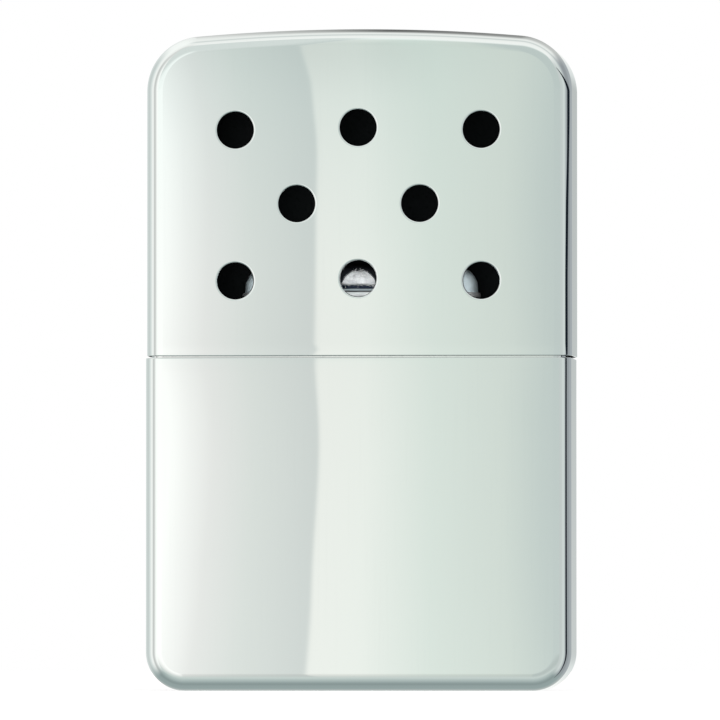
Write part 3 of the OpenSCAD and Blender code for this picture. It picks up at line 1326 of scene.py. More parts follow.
@dataclass
class Pad:
    """A soft pad: a closed crowned form with a lumpy skin.

    Its walls stand `reach` outside the path. Lumps `lump` deep and about `lump_size` apart pull it in, and
    it may swell by `bulge` into three windows on either side.
    """

    path: Sequence[PathPoint]
    reach: float
    foot: float
    top: float
    foot_round: float
    top_round: float
    lump: float
    lump_size: float
    seed: int
    levels: int = 26
    rings: int = 9
    bulge: float = 0.0
    bulge_pitch: float = 6.6
    bulge_reach: float = 1.9
    bulge_middle: float = 47.8

    def build(self, name: str, finish: bpy.types.Material) -> bpy.types.Object:
        """Builds the pad.

        Args:
            name: Name of the piece.
            finish: Its finish.

        Returns:
            The piece, pulled in from its space by its lumps.
        """
        angles = [QUARTER * k / 7 for k in range(8)]
        r = self.foot_round
        rows: list[Flat] = [(r * (1 - math.sin(a)), self.foot + r * (1 - math.cos(a))) for a in angles]
        low, high = rows[-1][1], self.top - self.top_round
        rows += [(0.0, low + (high - low) * k / self.levels) for k in range(1, self.levels)]
        r = self.top_round
        rows += [(r * (1 - math.cos(a)), high + r * math.sin(a)) for a in angles]
        grid = []
        for inward, z in rows:
            out = self.reach - inward
            grid.append([(p.x + p.nx * out, p.y + p.ny * out, z) for p in self.path])
        caps = []
        for end in (grid[0], grid[-1]):
            ring = [(x, y * (1 - k / self.rings), z) for k in range(1, self.rings + 1) for x, y, z in end]
            caps.append([ring[i : i + len(end)] for i in range(0, len(ring), len(end))])
        ordered = [*reversed(caps[0]), *grid, *caps[1]]
        points = self.bulged(self.lumpy(np.array(ordered, float)))
        mesh = bpy.data.meshes.new(name)
        count = len(self.path)
        faces = []
        for j in range(len(ordered) - 1):
            for i in range(count):
                n = (i + 1) % count
                faces.append((j * count + i, j * count + n, (j + 1) * count + n, (j + 1) * count + i))
        mesh.from_pydata([tuple(p) for p in points.reshape(-1, 3) * MM], [], faces)
        return welded(mesh, name, finish)

    def lumpy(self, points: np.ndarray) -> np.ndarray:
        """Pulls points in towards the pad's middle by smooth lumps.

        Args:
            points: The points, as an array whose last axis is the place.

        Returns:
            The moved points.
        """
        chance = np.random.default_rng(self.seed)
        wave = np.zeros(points.shape[:-1])
        for _ in range(14):
            way = chance.normal(size=3)
            way *= 2 * math.pi / (self.lump_size * chance.uniform(0.6, 1.6)) / np.linalg.norm(way)
            wave += np.sin(points @ way + chance.uniform(0, 6.28))
        wave = np.clip(wave / 8 + 0.5, 0, 1) * self.lump
        middle = np.array([0, 0, (self.foot + self.top) / 2])
        away = points - middle
        wide = self.reach + max(abs(p.x) for p in self.path)
        deep = self.reach + max(abs(p.y) for p in self.path)
        span = np.array([wide, deep, (self.top - self.foot) / 2])
        push = away / span
        push /= np.maximum(1e-6, np.linalg.norm(push, axis=-1, keepdims=True))
        return points - push * wave[..., None]

    def bulged(self, points: np.ndarray) -> np.ndarray:
        """Lets the pad swell into the three windows on either side.

        Args:
            points: The points, as an array whose last axis is the place.

        Returns:
            The moved points.
        """
        if not self.bulge:
            return points
        swell = np.zeros(points.shape[:-1])
        for i in (-1, 0, 1):
            off = np.hypot(points[..., 0] - i * self.bulge_pitch, points[..., 2] - self.bulge_middle)
            swell = np.maximum(swell, np.clip(1 - (off / self.bulge_reach) ** 2, 0, 1))
        wall = np.clip((np.abs(points[..., 1]) - 1.0) / 1.0, 0, 1)
        moved = points.copy()
        moved[..., 1] += np.sign(points[..., 1]) * swell * wall * self.bulge
        return moved


def welded(mesh: bpy.types.Mesh, name: str, finish: bpy.types.Material) -> bpy.types.Object:
    """Merges a mesh's doubles, turns its faces outwards and makes its object.

    Args:
        mesh: The mesh.
        name: Name of the piece.
        finish: Its finish.

    Returns:
        The piece.
    """
    work = bmesh.new()
    work.from_mesh(mesh)
    bmesh.ops.remove_doubles(work, verts=work.verts, dist=1e-7)
    bmesh.ops.dissolve_degenerate(work, edges=work.edges, dist=1e-8)
    bmesh.ops.recalc_face_normals(work, faces=work.faces)
    for face in work.faces:
        face.smooth = True
    work.to_mesh(mesh)
    work.free()
    mesh.materials.clear()
    mesh.materials.append(finish)
    return linked(name, mesh)


# ---------------------------------------------------------------- burner


@dataclass
class Burner:
    """The pull-off burner: a skirt with a flange, a windowed cover and the mat under it."""

    straight: float = 18.0
    skirt_radius: float = 4.16
    skirt_sheet: float = 0.4
    deck: float = 40.5
    seat: float = 46.1
    flange_top: float = 46.3
    flange_sheet: float = 0.6
    flange_radius: float = 4.9
    rim_radius: float = 4.15
    ledge_radius: float = 2.76
    cover_radius: float = 4.6
    cover_height: float = 3.1
    cover_edge: float = 2.6
    cover_sheet: float = 0.35
    window_radius: float = 2.0
    window_pitch: float = 6.6
    sill: float = 0.35
    arch_rise: float = 0.28
    sill_corner: float = 0.25
    slot_length: float = 17.0
    slot_breadth: float = 2.0
    lip: float = 0.06
    hole_margin: float = 0.12

    @property
    def upright(self) -> float:
        """Height of the cover's upright wall."""
        return self.cover_height - self.cover_edge

    @property
    def girth(self) -> float:
        """Length of the cover's section from one foot over the top to the other."""
        return 2 * (self.upright + QUARTER * self.cover_edge + self.cover_radius - self.cover_edge)

    def profile(self, v: float) -> tuple[float, float, float, float]:
        """A point of the cover's section.

        Args:
            v: Distance along the section from the foot, up to half the girth.

        Returns:
            Distance from the middle, height, and the normal's outward and upward parts.
        """
        bend = QUARTER * self.cover_edge
        if v <= self.upright:
            return self.cover_radius, self.flange_top + v, 1.0, 0.0
        if v <= self.upright + bend:
            angle = (v - self.upright) / self.cover_edge
            c, s = math.cos(angle), math.sin(angle)
            away = self.cover_radius - self.cover_edge + self.cover_edge * c
            return away, self.flange_top + self.upright + self.cover_edge * s, c, s
        away = self.cover_radius - self.cover_edge - (v - self.upright - bend)
        return max(0.0, away), self.flange_top + self.cover_height, 0.0, 1.0

    def along(self, height: float) -> float:
        """Distance along the section at which it reaches a height.

        Args:
            height: Height above the flange.

        Returns:
            The distance from the foot.
        """
        if height <= self.upright:
            return height
        return self.upright + self.cover_edge * math.asin((height - self.upright) / self.cover_edge)

    def lift(self, outer: bool) -> Lift:
        """How a flat place becomes a point of the cover's straight part.

        Args:
            outer: Whether it is the outer surface.

        Returns:
            A function from (along the cover, along the section) to a point and its normal.
        """
        depth = 0.0 if outer else self.cover_sheet

        def placed(u: float, v: float) -> tuple[Vector, Vector]:
            """The point and its normal; the rear half mirrors the front one."""
            side = -1 if v <= self.girth / 2 else 1
            away, z, no, nz = self.profile(v if side < 0 else self.girth - v)
            normal = Vector((0, side * no, nz))
            return Vector((u, side * away, z)) - normal * depth, normal * (1 if outer else -1)

        return placed

    def window(self, middle: float, back: bool) -> list[Flat]:
        """Outline of a window on the flattened cover.

        Args:
            middle: Its centre along the cover.
            back: Whether it is in the back wall.

        Returns:
            Flat places round it.
        """
        r, c = self.window_radius, self.sill_corner
        shape = []
        for k in range(7):
            angle = math.pi + QUARTER * k / 6
            shape.append((-r + c + c * math.cos(angle), self.sill + c + c * math.sin(angle)))
        shape += [(-r + c + (2 * r - 2 * c) * k / 12, self.sill) for k in range(1, 12)]
        for k in range(7):
            angle = -QUARTER + QUARTER * k / 6
            shape.append((r - c + c * math.cos(angle), self.sill + c + c * math.sin(angle)))
        for k in range(1, 40):
            angle = math.pi * k / 40
            shape.append((r * math.cos(angle), self.sill + self.arch_rise + r * math.sin(angle)))
        shape = [(u, max(h, self.sill)) for u, h in shape]
        flat = [(middle + u, self.along(h)) for u, h in shape]
        if back:
            flat = [(u, self.girth - v) for u, v in reversed(flat)]
        return flat

    def slot(self) -> list[Flat]:
        """Outline of the lighting slot on the flattened cover.

        Returns:
            Flat places round it.
        """
        r = self.slot_breadth / 2
        half = self.slot_length / 2 - r
        flat = []
        for end in (1, -1):
            for k in range(17):
                angle = -QUARTER + math.pi * k / 16
                flat.append((end * (half + r * math.cos(angle)), self.girth / 2 + end * r * math.sin(angle)))
            flat += [(end * (half - 2 * half * k / 30), self.girth / 2 + end * r) for k in range(1, 30)]
        return flat

    def pierced(self, skin: Skin, flat: Sequence[Flat]) -> tuple[list[FlatPoint], list[FlatPoint]]:
        """Builds the wall of a hole through the cover.

        Args:
            skin: The cover's skin.
            flat: The hole's outline, anticlockwise.

        Returns:
            Its outlines on the outer and on the inner surface.
        """
        leans = []
        for i, (u, v) in enumerate(flat):
            (u1, v1), (u2, v2) = flat[i - 1], flat[(i + 1) % len(flat)]
            leans.append(Vector((v2 - v1, u1 - u2)).normalized())
        rings = []
        for outer in (True, False):
            lift = self.lift(outer)
            ring = []
            for (u, v), q in zip(flat, leans):
                a, b = u + q.x * self.lip, v + q.y * self.lip
                ring.append((a, b, skin.point(*lift(a, b))))
            rings.append(ring)
        lift = self.lift(True)
        ways = []
        for (u, v), q in zip(flat, leans):
            low, high = lift(u, v)[0], lift(u + q.x * 0.01, v + q.y * 0.01)[0]
            ways.append((low - high).normalized())
        skin.lip([p[2] for p in rings[0]], [p[2] for p in rings[1]], ways, self.lip, 3)
        return rings[0], rings[1]

    def cover(self, finish: bpy.types.Material) -> bpy.types.Object:
        """Builds the cover with its windows and its slot.

        Args:
            finish: Its finish.

        Returns:
            The cover.
        """
        skin = Skin()
        steps = [self.lip, *np.linspace(self.lip, self.upright, 4)[1:]]
        bend = self.upright + QUARTER * self.cover_edge
        steps += list(np.linspace(self.upright, bend, 19)[1:])
        steps += list(np.linspace(bend, self.girth / 2, 7)[1:])
        steps = [float(v) for v in steps]
        whole = steps + [self.girth - v for v in reversed(steps[:-1])]
        half = self.straight / 2
        across = [float(u) for u in np.linspace(-half, half, 47)]
        middles = [(i - 1) * self.window_pitch for i in range(3)]
        shapes = [self.window(m, back) for m in middles for back in (False, True)] + [self.slot()]
        rings = [self.pierced(skin, shape) for shape in shapes]
        feet = []
        for number, outer in enumerate((True, False)):
            lift = self.lift(outer)
            holes = [ring[number] for ring in rings]
            loop = [(u, whole[0], skin.point(*lift(u, whole[0]))) for u in across[:-1]]
            loop += [(half, v, skin.point(*lift(half, v))) for v in whole[:-1]]
            loop += [(u, whole[-1], skin.point(*lift(u, whole[-1]))) for u in reversed(across[1:])]
            loop += [(-half, v, skin.point(*lift(-half, v))) for v in reversed(whole[1:])]
            off = self.hole_margin
            nudges = ((off, 0), (-off, 0), (0, off), (0, -off))
            inner = []
            for u in across[1:-1]:
                for v in whole[1:-1]:
                    near = [Vector((u + a, v + b)) for a, b in nudges]
                    if not any(inside(p, hole) for p in near for hole in holes):
                        inner.append((u, v))
            skin.fill(loop, holes, inner, lift)
            feet.append(self.ends(skin, lift, steps, across, whole))
        ways = [Vector((0, 0, -1))] * len(feet[0])
        skin.lip(feet[0], feet[1], ways, self.lip, 3)
        return skin.made("burner_hood", [finish])

    def ends(
        self, skin: Skin, lift: Lift, steps: list[float], across: list[float], whole: list[float]
    ) -> list[int]:
        """Builds the cover's two half-round ends and finds its foot.

        Args:
            skin: The cover's skin.
            lift: How a flat place becomes a point.
            steps: Distances along half the section.
            across: Distances along the straight part.
            whole: Distances along the whole section.

        Returns:
            The ring of points round its foot.
        """
        turns = 40
        feet = []
        for end in (1, -1):
            grid = []
            for v in steps:
                place, normal = lift(end * self.straight / 2, v)
                row = []
                for k in range(turns + 1):
                    angle = math.pi * k / turns + (0 if end == 1 else math.pi)
                    c, s = math.cos(angle), math.sin(angle)
                    spun = Vector((-place.y * s, place.y * c, 0))
                    lean = Vector((-normal.y * s, normal.y * c, normal.z))
                    row.append(skin.point(Vector((end * self.straight / 2, 0, place.z)) + spun, lean))
                grid.append(row)
            skin.rows(grid)
            feet.append(grid[0])
        front = [skin.point(*lift(u, whole[0])) for u in across[1:-1]]
        back = [skin.point(*lift(u, whole[-1])) for u in reversed(across[1:-1])]
        return front + feet[0] + back + feet[1]

    def skirt(self, finish: bpy.types.Material) -> bpy.types.Object:
        """Sweeps the skirt's section, with its flange and its ledge, round the oblong.

        Args:
            finish: Its finish.

        Returns:
            The skirt.
        """
        r, t, under = self.skirt_radius, self.skirt_sheet, self.flange_top - self.flange_sheet
        section = [
            (r - t, self.deck),
            (r, self.deck),
            (r, under),
            (self.flange_radius, under),
            (self.flange_radius, self.flange_top),
            (self.rim_radius, self.flange_top),
            (self.rim_radius, self.seat),
            (self.ledge_radius, self.seat),
            (self.ledge_radius, under),
            (r - t, under),
        ]
        return swept(oblong_path(self.straight), softened(section, 0.16)).made("burner_sleeve", [finish])


@dataclass
class Strands:
    """Short loose glass fibres that lie on the mat."""

    per_square_mm: float = 9.0
    length: float = 1.3
    radius: float = 0.022
    tilt: float = 0.45
    least: float = 0.5
    most: float = 1.15
    seed: int = 7

    def settings(self) -> dict[str, float | int]:
        """The values of the node group's inputs."""
        density = self.per_square_mm / MM**2
        return {"Density": density, "Length": self.length * MM, "Radius": self.radius * MM, "Seed": self.seed}

    def tree(self, finish: bpy.types.Material) -> bpy.types.GeometryNodeTree:
        """Builds the node tree that strews the fibres.

        Args:
            finish: The fibres' finish.

        Returns:
            The tree, from a mesh to bent three-sided tubes at random turns.
        """
        tree = bpy.data.node_groups.new("glass_strands", "GeometryNodeTree")
        face = tree.interface
        face.new_socket("Mat", in_out="INPUT", socket_type="NodeSocketGeometry")
        for name in self.settings():
            kind = "NodeSocketInt" if name == "Seed" else "NodeSocketFloat"
            face.new_socket(name, in_out="INPUT", socket_type=kind)
        face.new_socket("Strands", in_out="OUTPUT", socket_type="NodeSocketGeometry")
        sheet = NodeSheet(tree)
        given = {socket.name: Wire(sheet, socket) for socket in tree.nodes.new("NodeGroupInput").outputs}
        seed = given["Seed"]
        values = {"Mesh": given["Mat"], "Density": given["Density"], "Seed": seed}
        strew = sheet.node("GeometryNodeDistributePointsOnFaces", {"distribute_method": "RANDOM"}, values)
        bow = {"Start": (-0.5, 0.0, 0.0), "Middle": (0.06, 0.22, 0.04), "End": (0.5, 0.03, 0.0)}
        for name, place in bow.items():
            values = {0: place, "Scale": given["Length"]}
            bow[name] = sheet.node("ShaderNodeVectorMath", {"operation": "SCALE"}, values)
        bend = sheet.node("GeometryNodeCurveQuadraticBezier", {}, {"Resolution": 4, **bow})
        values = {"Resolution": 3, "Radius": given["Radius"]}
        ring = sheet.node("GeometryNodeCurvePrimitiveCircle", {}, values)
        values = {"Curve": bend, "Profile Curve": ring, "Fill Caps": True}
        tube = sheet.node("GeometryNodeCurveToMesh", {}, values)
        lean = self.tilt
        values = {0: (-lean, -lean, 0.0), 1: (lean, lean, 2 * math.pi), "Seed": seed}
        chance = sheet.node("FunctionNodeRandomValue", {"data_type": "FLOAT_VECTOR"}, values)
        values = {
            0: Wire(sheet, strew.socket.node.outputs["Rotation"]),
            1: sheet.node("FunctionNodeEulerToRotation", {}, {0: chance}),
        }
        turn = sheet.node("FunctionNodeRotateRotation", {"rotation_space": "LOCAL"}, values)
        values = {2: self.least, 3: self.most, "Seed": seed}
        size = sheet.node("FunctionNodeRandomValue", {"data_type": "FLOAT"}, values, 1)
        values = {"Points": strew, "Instance": tube, "Rotation": turn, "Scale": size}
        placed = sheet.node("GeometryNodeInstanceOnPoints", {}, values)
        real = sheet.node("GeometryNodeRealizeInstances", {}, {"Geometry": placed})
        dress = sheet.node("GeometryNodeSetMaterial", {}, {"Geometry": real, "Material": finish})
        end = tree.nodes.new("NodeGroupOutput")
        tree.links.new(dress.socket, end.inputs["Strands"])
        return tree

    def build(self, mat: bpy.types.Object, finish: bpy.types.Material) -> bpy.types.Object:
        """Strews the fibres over the mat.

        Args:
            mat: The mat.
            finish: The fibres' finish.

        Returns:
            The fibres, as one plain mesh.
        """
        carrier = linked("strand_carrier", mat.data.copy())
        modifier = carrier.modifiers.new("strands", "NODES")
        modifier.node_group = self.tree(finish)
        settings = self.settings()
        for item in modifier.node_group.interface.items_tree:
            if item.item_type == "SOCKET" and item.in_out == "INPUT" and item.name in settings:
                modifier[item.identifier] = settings[item.name]
        bpy.context.view_layer.update()
        seen = carrier.evaluated_get(bpy.context.evaluated_depsgraph_get())
        mesh = bpy.data.meshes.new_from_object(seen)
        carrier.modifiers.clear()
        bpy.data.objects.remove(carrier)
        mesh.name = "mat_strands"
        mesh.polygons.foreach_set("use_smooth", [True] * len(mesh.polygons))
        return linked("mat_strands", mesh)


# ---------------------------------------------------------------- studio

# Casts that the studio's light has in places.
WARM = (1.0, 1.0, 0.985)
PALE = (0.98, 1.02, 0.99)
GREEN = (0.945, 1.03, 0.97)
PLAIN = (0.985, 1.0, 0.985)
COOL = (0.94, 1.01, 1.0)
STEEL = (0.93, 1.0, 1.06)
TEAL = (0.85, 1.03, 1.03)
DIM_COOL = (0.93, 1.03, 1.0)
BACK_COOL = (0.95, 1.01, 1.0)
BACK_PLAIN = (0.985, 1.005, 0.985)

# The front card: screen levels across it, in millimetres from its middle.
CARD_ACROSS = (
    (-60.0, 253, WARM), (-54.8, 252, WARM), (-51.2, 239, WARM), (-46.8, 226, WARM), (-38.8, 216, PALE),
    (-27.2, 206, (0.97, 1.02, 1.0)), (-26.4, 232, (1.0, 1.015, 0.975)), (-18.0, 231, (0.99, 1.02, 0.975)),
    (-5.5, 219, GREEN), (7.7, 211, GREEN), (15.0, 199, (0.93, 1.035, 1.0)), (18.0, 196, (0.93, 1.035, 1.01)),
)
# How it dims with height, how much of that each place across takes, how its step bends as half a share of
# `bend_span`, and half its light towards the foot.
CARD_RISE = ((58, 1.0), (66, 0.975), (84, 0.91), (94, 0.80), (160, 0.785), (300, 0.86), (520, 0.92))
CARD_REACH = (
    (-60.0, 0.3), (-54.0, 0.55), (-27.2, 0.5), (-26.2, 1.0), (-12.0, 0.8), (-4.0, 0.4), (12.0, 0.15),
)
CARD_BEND = (
    (-5, 0.45), (14, 0.515), (34, 0.62), (44, 0.575), (64, 0.575), (75, 0.605), (86, 0.55), (96, 0.40),
    (115, 0.28),
)
CARD_FOOT = ((-180, 0.755), (-107, 0.83), (-68, 0.88), (-25, 0.95), (0, 1.055), (45, 1.0))

# The card behind, as shares of its width.
BACK_ACROSS = (
    (0.0, 200, BACK_COOL), (0.12, 203, BACK_COOL), (0.36, 217, BACK_COOL), (0.44, 222, BACK_COOL),
    (0.455, 238, BACK_PLAIN), (0.6, 231, BACK_PLAIN), (0.78, 210, BACK_COOL), (0.86, 180, BACK_COOL),
    (1.0, 178, BACK_COOL),
)

# The panels all round, by degrees from straight ahead: to the left, to the right, over, under, and over
# the left corner.
AHEAD_AND_BACK = (0, 180)
LEFT_RING = (
    (0, 252, PLAIN), (44, 252, PLAIN), (48, 247, PLAIN), (53, 231, PLAIN), (59, 205, PLAIN), (66, 193, PLAIN),
    (73, 228, PLAIN), (78, 243, PLAIN), (86, 236, PLAIN), (96, 221, COOL), (108, 205, COOL), (124, 199, COOL),
    (140, 212, COOL), (165, 206, COOL), (172, 200, COOL), (180, 200, COOL),
)
RIGHT_RING = (
    (0, 200, COOL), (45, 198, COOL), (58, 202, COOL), (67, 213, COOL), (75, 201, COOL), (83, 172, STEEL),
    (92, 152, STEEL), (107, 150, STEEL), (118, 156, STEEL), (131, 168, STEEL), (150, 163, STEEL),
    (163, 172, STEEL), (172, 178, COOL), (180, 190, COOL),
)
UPPER_RING = (
    (0, 207, PLAIN), (44, 218, PLAIN), (51, 232, PLAIN), (59, 241, PLAIN), (74, 236, PLAIN), (83, 203, COOL),
    (92, 234, PLAIN), (160, 236, PLAIN), (170, 208, COOL), (174, 200, COOL), (180, 200, COOL),
)
LOWER_RING = (
    (0, 225, PLAIN), (13, 217, (0.95, 1.03, 1.0)), (27, 207, (0.92, 1.03, 1.0)), (41, 189, (0.9, 1.03, 1.01)),
    (55, 172, (0.87, 1.03, 1.02)), (68, 153, TEAL), (78, 146, TEAL), (92, 156, TEAL), (120, 159, TEAL),
    (150, 182, COOL), (172, 200, COOL), (180, 200, COOL),
)
CORNER_RING = (
    (0, 232, PLAIN), (40, 222, PLAIN), (54, 216, PLAIN), (61, 212, PLAIN), (70, 238, PLAIN), (84, 247, PLAIN),
    (130, 246, PLAIN), (174, 200, COOL), (180, 200, COOL),
)
# A dark patch over the top, by degrees from straight ahead and by place across.
DUSK_AROUND = ((98, 0.0), (104, 0.25), (111, 0.6), (117, 0.85), (124, 1.0), (163, 1.0), (171, 0.0))
DUSK_ACROSS = ((-0.17, 0.02), (-0.095, 0.57), (-0.063, 0.97), (-0.03, 0.82), (0.1, 0.5), (0.4, 0.4))
DUSK_LEVEL = 88

# The flag's front and rear edge by height, along the uprights.
FLAG_EDGES = (
    (0.0, -6.43, -5.86), (38.7, -6.43, -5.86), (38.9, -6.69, -5.84), (48.0, -6.69, -5.84),
    (57.0, -6.43, -5.55), (62.0, -6.05, -5.3), (66.0, -5.98, -5.04), (71.0, -5.98, -5.04),
)


def tone(level: float, cast: Colour = (1.0, 1.0, 1.0)) -> Colour:
    """The light that a screen level stands for.

    Args:
        level: The level, from 0 to 255.
        cast: The light's colour cast.

    Returns:
        The light.
    """
    share = level / 255
    light = share / 12.92 if share <= 0.04045 else ((share + 0.055) / 1.055) ** 2.4
    return tuple(light * c for c in cast)


def toned(
    stops: Sequence[tuple[float, float, Colour]], low: float = 0.0, high: float = 1.0
) -> list[tuple[float, Colour]]:
    """Ramp stops from places between low and high, each with a screen level and a cast."""
    return [((place - low) / (high - low), tone(level, cast)) for place, level, cast in stops]


@dataclass(frozen=True)
class Lamp:
    """A soft square lamp; its level is the light that it sheds on a surface that faces it."""

    name: str
    place: Colour
    size: float
    level: float

    def build(self) -> None:
        """Hangs the lamp and turns it to the warmer's middle."""
        data = bpy.data.lights.new(self.name, "AREA")
        data.size = self.size * MM
        data.energy = self.level * (math.pi * Vector(self.place).length * MM) ** 2
        lamp = linked(self.name, data)
        lamp.location = Vector(self.place) * MM
        look = Vector((0, 0, 40 * MM)) - lamp.location
        lamp.rotation_euler = look.to_track_quat("-Z", "Y").to_euler()
        lamp.visible_glossy = False
        lamp.visible_camera = False


@dataclass
class Studio:
    """A pale floor, soft lamps, and the panels that the plated metal mirrors."""

    distance: float = 1500.0
    azimuth: float = 4.4
    camera_height: float = 3.0
    aim: Colour = (-0.20, 0.0, 38.49)
    frame_width: float = 83.82
    sensor: float = 36.0
    card_distance: float = 300.0
    card_half: float = 270.0
    card_top: float = 520.0
    card_foot: float = -180.0
    card_from: float = -60.0
    card_to: float = 20.0
    card_shift: float = -4.2
    bend_span: float = 10.0
    plate_shine: float = 0.86
    flag_gap: float = 1.0
    flag_level: float = 34
    flag_inset: float = 19.15
    back_half: float = 62.0
    back_foot: float = -60.0
    back_top: float = 150.0
    floor_half: float = 4000.0
    floor_drop: float = 0.02
    lamps: tuple[Lamp, ...] = (
        Lamp("front_lamp", (90.0, -1230.0, 170.0), 300.0, 0.41),
        Lamp("left_front_lamp", (-800.0, -1000.0, 120.0), 320.0, 0.42),
        Lamp("right_front_lamp", (800.0, -1000.0, 120.0), 320.0, 0.42),
        Lamp("top_lamp", (100.0, 100.0, 1300.0), 900.0, 0.34),
        Lamp("back_lamp", (-300.0, 1200.0, 600.0), 700.0, 0.30),
    )

    def camera(self) -> None:
        """Makes the camera: a long lens, level with the foot of the warmer."""
        data = bpy.data.cameras.new("camera")
        data.sensor_width = self.sensor
        data.lens = data.sensor_width * self.distance / self.frame_width
        data.clip_start = 0.05
        data.clip_end = 100.0
        made = linked("camera", data)
        turn = math.radians(self.azimuth)
        place = (self.distance * math.sin(turn), -self.distance * math.cos(turn), self.camera_height)
        made.location = Vector(place) * MM
        look = Vector(self.aim) * MM - made.location
        made.rotation_euler = look.to_track_quat("-Z", "Y").to_euler()
        bpy.context.scene.camera = made

    @staticmethod
    def staged(
        name: str,
        places: Sequence[Colour],
        faces: Sequence[tuple[int, ...]],
        finish: bpy.types.Material,
        mirrored_only: bool = True,
    ) -> bpy.types.Object:
        """Makes a piece of the studio.

        Args:
            name: Its name.
            places: Its points, in millimetres.
            faces: Its faces.
            finish: Its finish.
            mirrored_only: Whether only reflections see it.

        Returns:
            The piece.
        """
        mesh = bpy.data.meshes.new(name)
        mesh.from_pydata([Vector(c) * MM for c in places], [], faces)
        mesh.materials.append(finish)
        made = linked(name, mesh)
        if mirrored_only:
            made.visible_camera = False
            made.visible_diffuse = False
            made.visible_shadow = False
            made.visible_transmission = False
            made.visible_volume_scatter = False
        return made

    def panel(
        self, name: str, half: float, y: float, low: float, high: float, finish: bpy.types.Material
    ) -> None:
        """Hangs an upright panel that only reflections see.

        Args:
            name: Its name.
            half: Half its width.
            y: Its place along Y.
            low: Height of its foot.
            high: Height of its top.
            finish: Its finish.
        """
        corners = [(-half, y, low), (half, y, low), (half, y, high), (-half, y, high)]
        self.staged(name, corners, [(0, 1, 2, 3)], finish)

    def shine(self, sheet: NodeSheet, light: Wire) -> None:
        """Ends a panel's tree, with its light raised by what the plate swallows."""
        values = {"Color": light, "Strength": 1.0 / self.plate_shine}
        finish_with(sheet, sheet.node("ShaderNodeEmission", {}, values))

    def floor(self) -> None:
        """Makes the floor: pale, lit to white where nothing shades it."""
        finish, sheet = blank_material("studio_floor")
        grain = sheet.noise((900.0, 900.0, 900.0), 3.0, 0.5)
        colour = sheet.mix(grain.smooth(0.3, 0.7), (0.72, 0.83, 0.83), (0.75, 0.86, 0.86))
        matt = sheet.node("ShaderNodeBsdfDiffuse", {}, {"Color": colour, "Roughness": 0.5})
        white = sheet.node("ShaderNodeEmission", {}, {"Color": (1.0, 0.94, 0.94, 1.0), "Strength": 1.22})
        seen = sheet.node("ShaderNodeLightPath", out="Is Camera Ray")
        far = sheet.node("ShaderNodeVectorMath", {"operation": "LENGTH"}, {0: sheet.coords()}, "Value")
        share = seen * (0.6 + 0.4 * far.smooth(0.12, 0.6))
        finish_with(sheet, sheet.node("ShaderNodeMixShader", {}, {0: share, 1: matt, 2: white}))
        h, z = self.floor_half, -self.floor_drop
        corners = [(-h, -h, z), (h, -h, z), (h, h, z), (-h, h, z)]
        made = self.staged("studio_floor", corners, [(0, 1, 2, 3)], finish, mirrored_only=False)
        made.visible_glossy = False

    def card(self) -> None:
        """Makes the front panel that the plated faces mirror."""
        start, end, foot, top = self.card_from, self.card_to, self.card_foot, self.card_top
        finish, sheet = blank_material("studio_card")
        x, _, z = sheet.axes(sheet.coords())
        tall = (z - foot * MM) / ((top - foot) * MM)
        offset = sheet.curve(tall, CARD_BEND, foot, top, "EASE")
        place = x - (offset - 0.5) * (self.bend_span * MM) - (start + self.card_shift) * MM
        place = place / ((end - start) * MM)
        side = sheet.ramp(place, toned(CARD_ACROSS, start, end))
        dim = sheet.curve(tall, CARD_RISE, foot, top)
        where = sheet.curve(place, CARD_REACH, start, end)
        lift = sheet.curve(tall, [(at, share / 2) for at, share in CARD_FOOT], foot, top)
        level = lift * 2 * (1 - (1 - dim) * where)
        light = sheet.node("ShaderNodeVectorMath", {"operation": "SCALE"}, {0: side, "Scale": level})
        flare = x.smooth(-50 * MM, -60 * MM) * z.smooth(28 * MM, -4 * MM) * z.smooth(-48 * MM, -14 * MM)
        aloft = x.smooth(-28 * MM, -46 * MM) * z.smooth(112 * MM, 200 * MM)
        for share, colour in (
            (flare * 0.8, tone(254, WARM)),
            (z.smooth(320 * MM, 460 * MM), tone(240, PLAIN)),
            (aloft, tone(216, PLAIN)),
            (z.smooth(-40 * MM, -170 * MM), tone(203, DIM_COOL)),
        ):
            light = sheet.mix(share, light, colour)
        cold = z.smooth(45 * MM, 100 * MM) * (1 - 0.75 * x.smooth(-22 * MM, 6 * MM))
        self.shine(sheet, sheet.mix(cold, light, (0.95, 1.005, 1.0), "MULTIPLY"))
        self.panel("studio_card", self.card_half, -self.card_distance, foot, top, finish)

    def back_card(self) -> None:
        """Makes the panel behind, that the plated back mirrors."""
        half, low, high = self.back_half, self.back_foot, self.back_top
        finish, sheet = blank_material("studio_back_card")
        x, _, z = sheet.axes(sheet.coords())
        place = (x + half * MM + (z - 0.04) * 0.06) / (2 * half * MM)
        light = sheet.ramp(place, toned(BACK_ACROSS))
        fade = z.smooth(high * MM, (high - 40) * MM) * z.smooth(low * MM, (low + 30) * MM)
        self.shine(sheet, sheet.mix(fade, tone(200, BACK_COOL), light))
        self.panel("studio_back_card", half, self.card_distance, low, high, finish)

